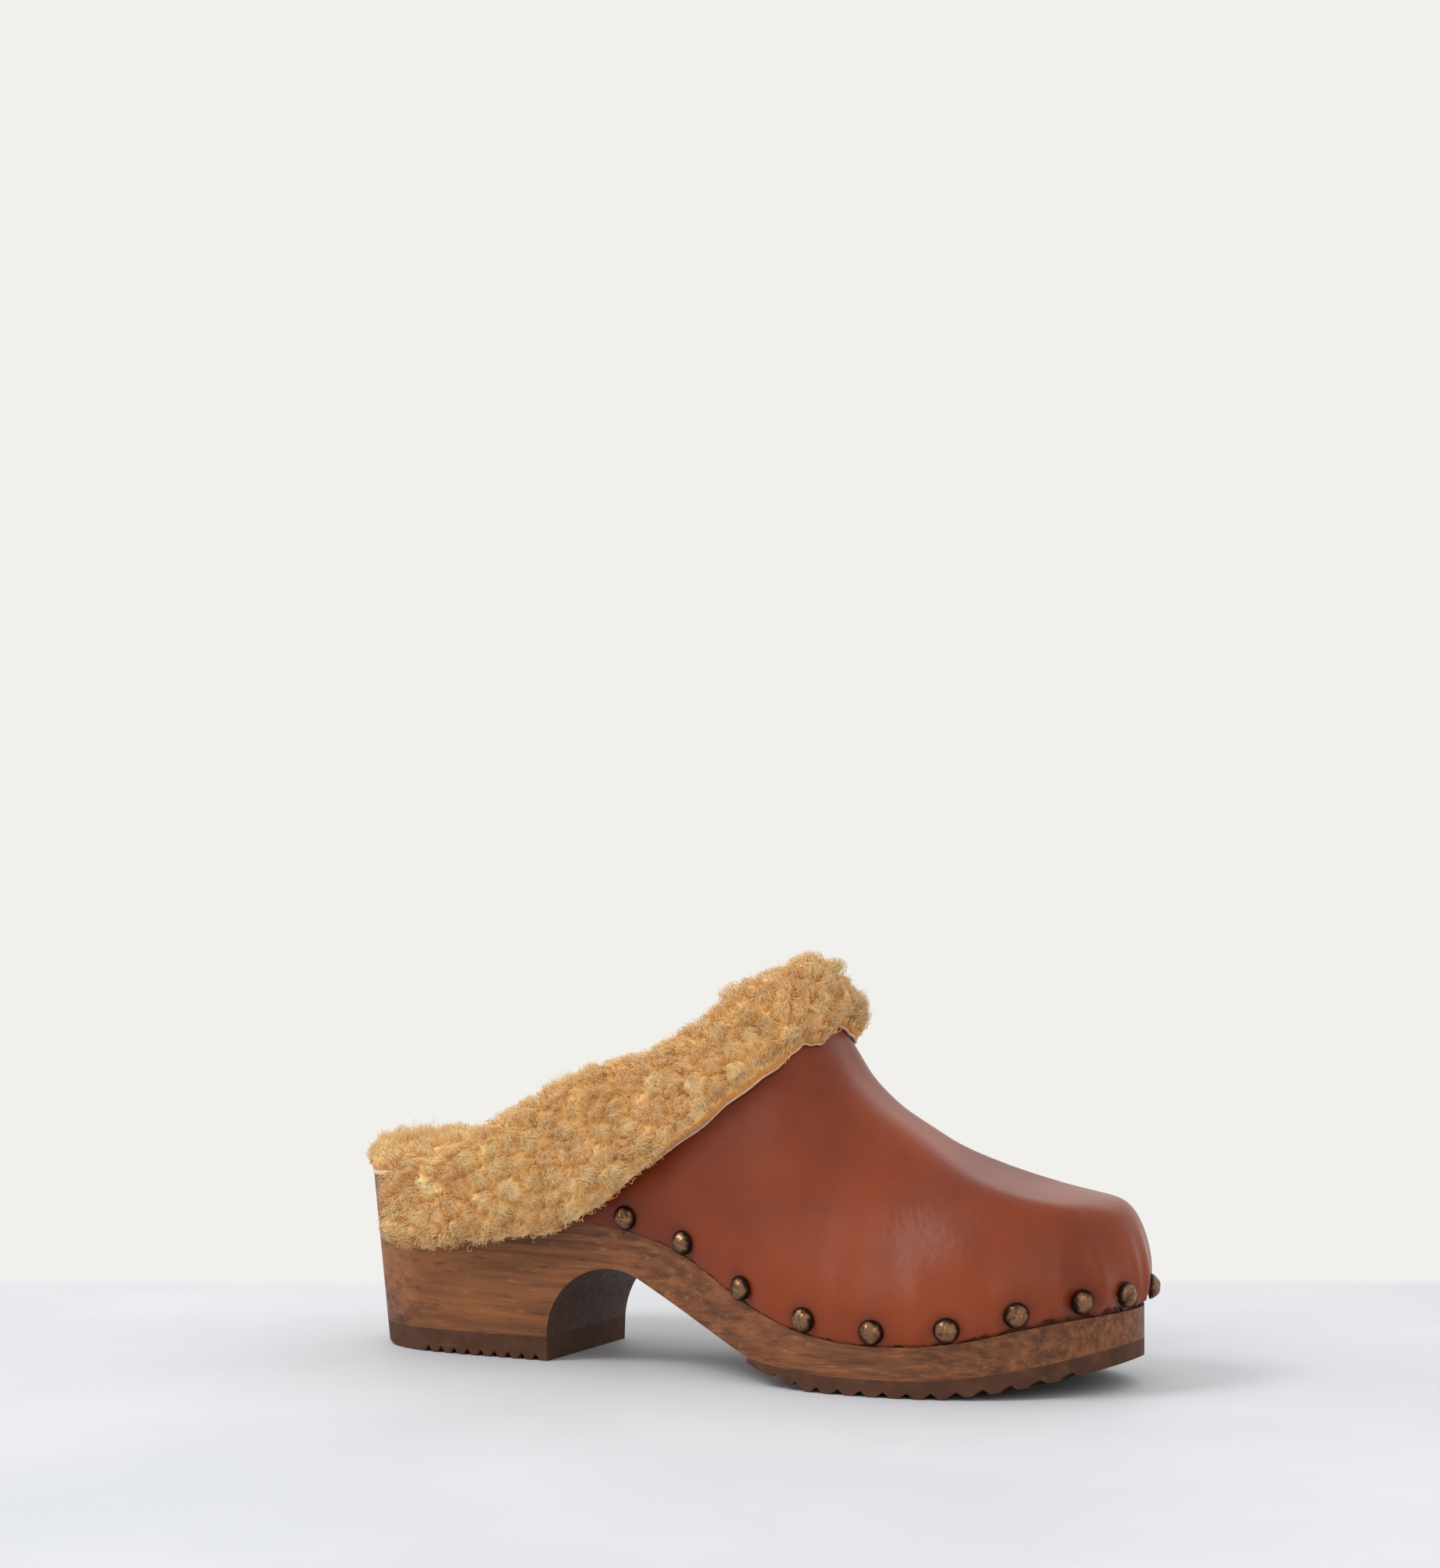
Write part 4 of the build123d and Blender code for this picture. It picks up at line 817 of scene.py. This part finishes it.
class Fleece:
    """Wool on a hide: root points, directions and pile height over a grid."""

    def __init__(self, root, way, pile, seed, spacing=TUFT):
        self.random = np.random.default_rng(seed)
        self.shape = root.shape[:2]
        self.root, self.way, self.pile = root.reshape(-1, 3), unit(way).reshape(-1, 3), pile.ravel()
        self.skin = self.root + self.way * self.pile[:, None]
        self.area = grid_area(self.skin.reshape(*self.shape, 3))
        seeds = scattered(self.skin, self.area, spacing, self.random)
        self.centres = self.skin[seeds]
        self.spacing = spacing
        self.tall = self.random.uniform(0.62, 1.12, len(seeds))
        self.tone = self.random.uniform(0, 1, len(seeds))
        self.apex = self.skin[seeds] + self.way[seeds] * (0.10 * self.pile[seeds] * self.tall)[:, None]
        self.apex += self.random.normal(0, 0.24 * spacing, (len(seeds), 3))
        self.phase = self.random.uniform(0, 2 * pi, len(seeds))
        self.tree = tree_of(self.centres)

    def tufts(self, points):
        """Nearest tuft of each point, and how far from the crease to the next tuft."""
        found = [self.tree.find_n(p, 2) for p in points.tolist()]
        nearest = np.array([f[0][1] for f in found])
        crease = np.array([f[1][2] - f[0][2] for f in found]) / self.spacing
        return nearest, crease

    def bed(self):
        """Closed lumpy body of the wool, one rounded bulge per tuft."""
        x, y, z = self.skin.T
        wobble = [np.sin(y * 1.9 + z * 1.3), np.sin(z * 1.7 + x * 1.5), np.sin(x * 2.1 + y * 1.1)]
        nearest, crease = self.tufts(self.skin + 0.45 * np.stack(wobble, 1))
        dome = np.sqrt(np.clip(crease * 1.5, 0, 1))
        fine = 0.035 * (np.sin(x * 4.1 + z * 3.3) + np.sin(y * 4.7 - z * 2.9) + np.sin(x * 3.7 - y * 4.3))
        share = 0.44 + 0.34 * dome * self.tall[nearest] + fine
        top = self.root + self.way * (self.pile * share)[:, None]
        under = self.root.copy()
        rows, columns = self.shape
        # Painted shade: the body is darker in the creases between tufts, where dome is low.
        height = np.clip(0.42 + 0.45 * dome * self.tall[nearest], 0, 1)
        verts, quads = slab(top.reshape(rows, columns, 3), under.reshape(rows, columns, 3))
        extra = len(verts) - 2 * len(top)
        fields = {"height": np.concatenate([height, np.zeros(len(top) + extra)]),
                  "tone": np.concatenate([self.tone[nearest], np.zeros(len(top) + extra)])}
        return verts, quads, fields

    def strands(self, count, mask=None):
        """Curled strands, drawn together into the tips of their tufts."""
        random = self.random
        weight = self.area * (mask.ravel() if mask is not None else 1.0)
        picks = random.choice(len(self.root), count, p=weight / weight.sum())
        jitter = random.normal(0, 0.6, (count, 3))
        skin = self.skin[picks] + jitter
        way, pile = self.way[picks], self.pile[picks][:, None]
        nearest, crease = self.tufts(skin)
        root = self.root[picks] + jitter + way * pile * random.uniform(0.15, 0.5, (count, 1))
        loose = random.uniform(0, 1, (count, 1)) < STRAYS
        drawn = np.where(loose, 0.0, DRAWN) * random.uniform(0.6, 1.2, (count, 1))
        over = np.where(loose, random.uniform(1.1, 1.45, (count, 1)), random.uniform(0.82, 1.10, (count, 1)))
        tip = root + (skin - root) * over
        tip = tip * (1 - drawn) + (self.apex[nearest] + random.normal(0, 0.35, (count, 3))) * drawn
        bend = root + way * pile * random.uniform(0.35, 0.6, (count, 1)) + random.normal(0, 0.5, (count, 3))
        u = np.linspace(0, 1, STRAND_JOINTS)[None, :, None]
        path = (1 - u) ** 2 * root[:, None] + 2 * u * (1 - u) * bend[:, None] + u ** 2 * tip[:, None]
        side = unit(np.cross(way, random.normal(0, 1, (count, 3))))
        third = np.cross(way, side)
        start = self.phase[nearest][:, None] + random.normal(0, 0.7, (count, 1))
        turn = start + u[..., 0] * random.uniform(*CURL_TURNS, (count, 1))
        swing = 0.25 + 0.75 * np.sin(pi * np.clip(u[..., 0] * 0.9, 0, 1))
        grow = CURL * random.uniform(0.5, 1.2, (count, 1)) * swing
        path = path + (grow * np.cos(turn))[..., None] * side[:, None]
        path = path + (grow * np.sin(turn))[..., None] * third[:, None]
        fat = STRAND * random.uniform(0.7, 1.3, (count, 1)) * np.where(loose, 0.6, 1.0)
        width = fat * (1 - 0.72 * u[..., 0] ** 1.5)
        tone = np.clip(self.tone[nearest] + random.normal(0, 0.18, count), 0, 1)
        # Painted shade: strands are darker towards their roots and in the creases between tufts; strays are
        # kept pale, out of it.
        deep = np.clip(0.45 + 0.60 * u[..., 0] * np.clip(0.45 + crease * 1.4, 0, 1)[:, None], 0, 1)
        deep = np.where(loose, np.maximum(deep, 0.8), deep)
        return tubes(path, width, deep, tone)


def tubes(path, width, height, tone):
    """Thin closed three-sided tubes along many paths at once."""
    count, joints = path.shape[:2]
    tangent = unit(np.gradient(path, axis=1))
    hint = unit(np.roll(tangent[:, joints // 2], 1, axis=1) + np.array([0.3, -0.2, 0.5]))
    side = unit(np.cross(tangent, hint[:, None]))
    third = np.cross(tangent, side)
    corner = np.array([0, 2 * pi / 3, 4 * pi / 3])
    offset = side[:, :, None] * np.cos(corner)[:, None] + third[:, :, None] * np.sin(corner)[:, None]
    verts = (path[:, :, None] + offset * width[:, :, None, None]).reshape(-1, 3)
    base = (np.arange(count) * joints * 3)[:, None, None] + (np.arange(joints - 1) * 3)[None, :, None]
    k = np.arange(3)[None, None, :]
    a, b = base + k, base + (k + 1) % 3
    quads = np.stack([a, b, b + 3, a + 3], -1).reshape(-1, 4)
    first = (np.arange(count) * joints * 3)[:, None]
    last = first + (joints - 1) * 3
    caps = np.concatenate([first + np.array([2, 1, 0]), last + np.array([0, 1, 2])])
    fields = {"height": np.repeat(height.ravel(), 3), "tone": np.repeat(tone, joints * 3)}
    return verts, quads, caps, fields


def wool_pieces(name, fleece, counts, material, nodes, mask=None):
    """The wool's body and its strands, in pieces of a manageable size."""
    verts, quads, fields = fleece.bed()
    body = mesh_object(f"{name}_body", verts, quads, fields=fields)
    finished(body, material, nodes)
    for n, count in enumerate(counts):
        verts, quads, caps, fields = fleece.strands(count, mask)
        locks = mesh_object(f"{name}_locks_{n + 1}", verts, quads, caps, fields)
        finished(locks, material, ())


def cuff_fleece():
    """Wool on the turned-down cuff: hanging over its edge at the rear, combed back at the front."""
    t = np.linspace(0, 1, 420)
    root, way = cuff_grid(t, 34, 13, 9, 2 * LAYER_GAP + SKIN, 2 * LAYER_GAP + SKIN)
    columns = root.shape[1]
    j = np.arange(columns)
    inside = smoothstep(34, 47, j)
    pile = CUFF_WOOL * (1 - inside) + VAMP_WOOL * inside
    start = smoothstep(-3, 9, j)
    pile = pile * (0.45 + 0.55 * start)
    half = np.minimum(t, 1 - t) * 2
    rear = 1 - smoothstep(0.30, 0.46, half)
    grid_pile = np.repeat(pile[None, :], len(t), 0)
    hang = rear[:, None] * (1 - smoothstep(0, 11, j))[None, :]
    down = unit(root[:, :1] - root[:, 4:5])
    way = way + (0.75 * hang)[..., None] * down
    grid_pile = grid_pile * (1 + 0.22 * hang)
    comb = ((1 - rear)[:, None] * (1 - smoothstep(0, 6, j))[None, :])[..., None]
    way = way - 0.75 * comb * down
    end = (1 - smoothstep(0, 0.035, half))[:, None]
    back = np.zeros_like(way)
    back[..., 0] = -1
    way = way + 0.45 * end[..., None] * back
    ragged_pile = 1 + 0.10 * np.sin(t * 47)[:, None] * np.sin(j / 4.0)[None, :]
    return Fleece(root, unit(way), grid_pile * ragged_pile, 11)


def lining_layer(depth):
    """The vamp lining's faces lie a depth under the leather, from footbed to cuff."""
    rows = np.flatnonzero(OUTER[:, 0, 0] >= LINING_REAR)
    low = height_reached(OUTER[rows], footbed_z(OUTER[rows][:, 0, 0]) + 4 * LAYER_GAP)
    high = ROW_LENGTH[rows] - CUFF_INSIDE - LAYER_GAP
    points, out = span(OUTER[rows], OUTER_N[rows], low, high, 40)
    back = SOLE_LENGTH - PUFF_LENGTH
    puff = smoothstep(back - PUFF_RAMP[0], back - PUFF_RAMP[1], points[:, :, 0])
    under = LEATHER + LAYER_GAP + puff * (PUFF + LAYER_GAP) + depth
    return points - under[..., None] * out, -softened(out, 10)


def make_lining_hide():
    near, way = lining_layer(0.0)
    return slab(near, near + SKIN * way, 0.1)


def insole_ring(rise, inset_extra=0.0, count=300, inner=26):
    """Grid over the insole: round its outline, and inwards to its middle line."""
    outline = resample(np.vstack([OUTLINE, OUTLINE[:1]]), count)
    inward_ = resample(np.vstack([OUTLINE_IN, OUTLINE_IN[:1]]), count)
    stack = LEATHER + PUFF + SKIN + VAMP_WOOL + INSOLE_CLEARANCE + 6 * LAYER_GAP
    inset = 0.3 + stack * smoothstep(0.5 * CUFF_REAR, CUFF_REAR, outline[:, 0]) + inset_extra
    edge = outline + inset[:, None] * unit(inward_)
    middle = np.stack([np.clip(edge[:, 0], 0.11 * SOLE_LENGTH, 0.84 * SOLE_LENGTH), np.zeros(count)], 1)
    middle[:, 1] = np.interp(middle[:, 0], [0, 0.5 * SOLE_LENGTH, SOLE_LENGTH], [0, -1.0, 4.0])
    w = (np.linspace(0, 1, inner) ** 1.15)[None, :, None]
    plan = edge[:, None] * (1 - w) + middle[:, None] * w
    z = footbed_z(plan[..., 0]) + rise
    return np.concatenate([plan, z[..., None]], axis=2)


def make_insole_hide():
    rise = LAYER_GAP
    low = insole_ring(rise)
    high = insole_ring(rise + 1.5)
    curl = smoothstep(5, 0, np.arange(low.shape[1]))[None, :]
    angle = np.linspace(0, 1, low.shape[0])[:, None]
    wave = curl * (0.5 * np.sin(angle * 90) * np.sin(angle * 37 + 1) + 0.25)
    low[..., 2] += np.maximum(wave, 0)
    high[..., 2] += wave
    return slab(high, low, 0.2)


def sock_fleece():
    root = insole_ring(LAYER_GAP + SKIN + 0.6, 0.2, 300, 40)
    way = np.zeros_like(root)
    way[..., 2] = 1
    out = unit(root[:, :1, :2] - root[:, 6:7, :2])
    j = np.arange(root.shape[1])
    rear = 1 - smoothstep(6, 30, root[:, 0, 0])
    lean = (1 - smoothstep(0, 9, j))[None, :] * (0.06 + 0.22 * rear[:, None])
    way[..., :2] += lean[..., None] * out
    pile = SOCK_WOOL * (0.50 + 0.50 * smoothstep(0, 6, j))[None, :] * np.ones((root.shape[0], 1))
    pile = pile * (1 + 0.16 * rear[:, None])
    pile = pile * (1 - 0.45 * smoothstep(120, 190, root[..., 0]))
    fleece = Fleece(root, unit(way), pile, 23, TUFT * 1.05)
    return fleece, (root[..., 0] < 150).astype(float)


def vamp_fleece():
    root, way = lining_layer(SKIN + LAYER_GAP)
    pile = VAMP_WOOL * np.ones(root.shape[:2])
    pile = pile * (0.75 + 0.25 * smoothstep(0, 6, np.arange(root.shape[1])))[None, :]
    fleece = Fleece(root, way, pile, 29, TUFT * 1.15)
    return fleece, np.exp(-np.maximum(root[..., 0] - 120, 0) / 22)


# ---- stage ---------------------------------------------------------------
def area_light(name, location, aim, size, power):
    data = bpy.data.lights.new(name, "AREA")
    data.shape = "RECTANGLE"
    data.size, data.size_y = size
    data.energy = power
    light = bpy.data.objects.new(name, data)
    light.location = location
    light.rotation_euler = (Vector(aim) - Vector(location)).to_track_quat("-Z", "Y").to_euler()
    bpy.context.scene.collection.objects.link(light)


def make_floor():
    """Plain pale table top, cool grey near the clog and off-white far from it."""
    bpy.ops.mesh.primitive_circle_add(vertices=128, radius=8, fill_type="NGON", location=(0, 0, 0))
    floor = bpy.context.object
    floor.name = "floor"
    g = Graph("floor_paint")
    away = g.add("ShaderNodeVectorMath", {0: g.position(), 1: (-sin(VIEW_YAW), cos(VIEW_YAW), 0)},
                 operation="DOT_PRODUCT").outputs["Value"]
    cloud = g.noise(g.position(), 5.0, 4.0)
    speck = g.noise(g.position(), 38.0, 6.0, 0.7)
    paint = g.mix(g.ramp(cloud, 0.3, 0.7), colour(200, 203, 210), colour(211, 213, 219))
    paint = g.mix(g.ramp(speck, 0.60, 0.80, 0.0, 0.35), paint, colour(222, 222, 226))
    g.done(Base_Color=paint, Roughness=0.6, Specular_IOR_Level=0.25)
    glow = g.add("ShaderNodeEmission", {"Color": colour(*WALL), "Strength": 1.0})
    output = g.nodes["Material Output"]
    beyond = g.ramp(away, TABLE_END, TABLE_END + 0.03)
    blend = g.add("ShaderNodeMixShader", {0: beyond, 1: g.shader.outputs[0], 2: glow.outputs[0]})
    g.links.new(blend.outputs[0], output.inputs[0])
    floor.data.materials.append(g.material)


def make_world():
    world = bpy.data.worlds.new("studio")
    bpy.context.scene.world = world
    world.use_nodes = True
    background = world.node_tree.nodes["Background"]
    background.inputs[0].default_value = colour(*WALL)
    background.inputs[1].default_value = 1.0


def make_camera():
    data = bpy.data.cameras.new("camera")
    data.lens, data.sensor_width = LENS, SENSOR
    data.clip_start, data.clip_end = 0.05, 50
    camera = bpy.data.objects.new("camera", data)
    camera.location = CAMERA_AT
    camera.rotation_euler = (pi / 2, 0, VIEW_YAW)
    bpy.context.scene.collection.objects.link(camera)
    bpy.context.scene.camera = camera


def make_lights():
    area_light("key", (-0.9, -1.0, 1.5), (0, 0, 0.05), (0.7, 0.6), 17)
    area_light("front_fill", (1.3, -1.2, 0.9), (0, 0, 0.05), (0.9, 0.9), 3)
    area_light("back_fill", (0.2, 1.6, 1.5), (0, 0, 0.05), (1.6, 1.0), 6)


# ---- build ---------------------------------------------------------------
bpy.context.scene.view_settings.view_transform = "Standard"
make_camera()
make_world()
make_lights()
make_floor()

wood, rubber, leather = wood_material(), rubber_material(), leather_material()
hide, brass, board = hide_material(), brass_material(), board_material()
wool = wool_material("sheep_wool", colour(228, 150, 72), colour(250, 205, 130), colour(255, 231, 180))

for node, material in (("wooden_sole", wood), ("forepart_outsole", rubber), ("heel_top_lift", rubber),
                       ("toe_puff", board)):
    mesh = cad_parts[node].data
    mesh.materials.clear()
    mesh.materials.append(material)

finished(make_vamp(), leather, ["vamp_leather"])
make_nails(brass)
for name, (verts, quads), node in (("cuff_hide_turned", make_cuff_hide(), "cuff_hide"),
                                   ("lining_hide_glued", make_lining_hide(), "lining_hide"),
                                   ("insole_hide_trimmed", make_insole_hide(), "insole_hide")):
    finished(mesh_object(name, verts, quads), hide, [node])

strands = int(STRANDS * (1.0))
wool_pieces("cuff_wool", cuff_fleece(), [strands] * 8, wool, ["cuff_wool"])
sock, sock_mask = sock_fleece()
wool_pieces("insole_wool", sock, [strands] * 2, wool, ["insole_wool"], sock_mask)
inner, inner_mask = vamp_fleece()
wool_pieces("lining_wool", inner, [int(0.7 * strands)], wool, ["lining_wool"], inner_mask)
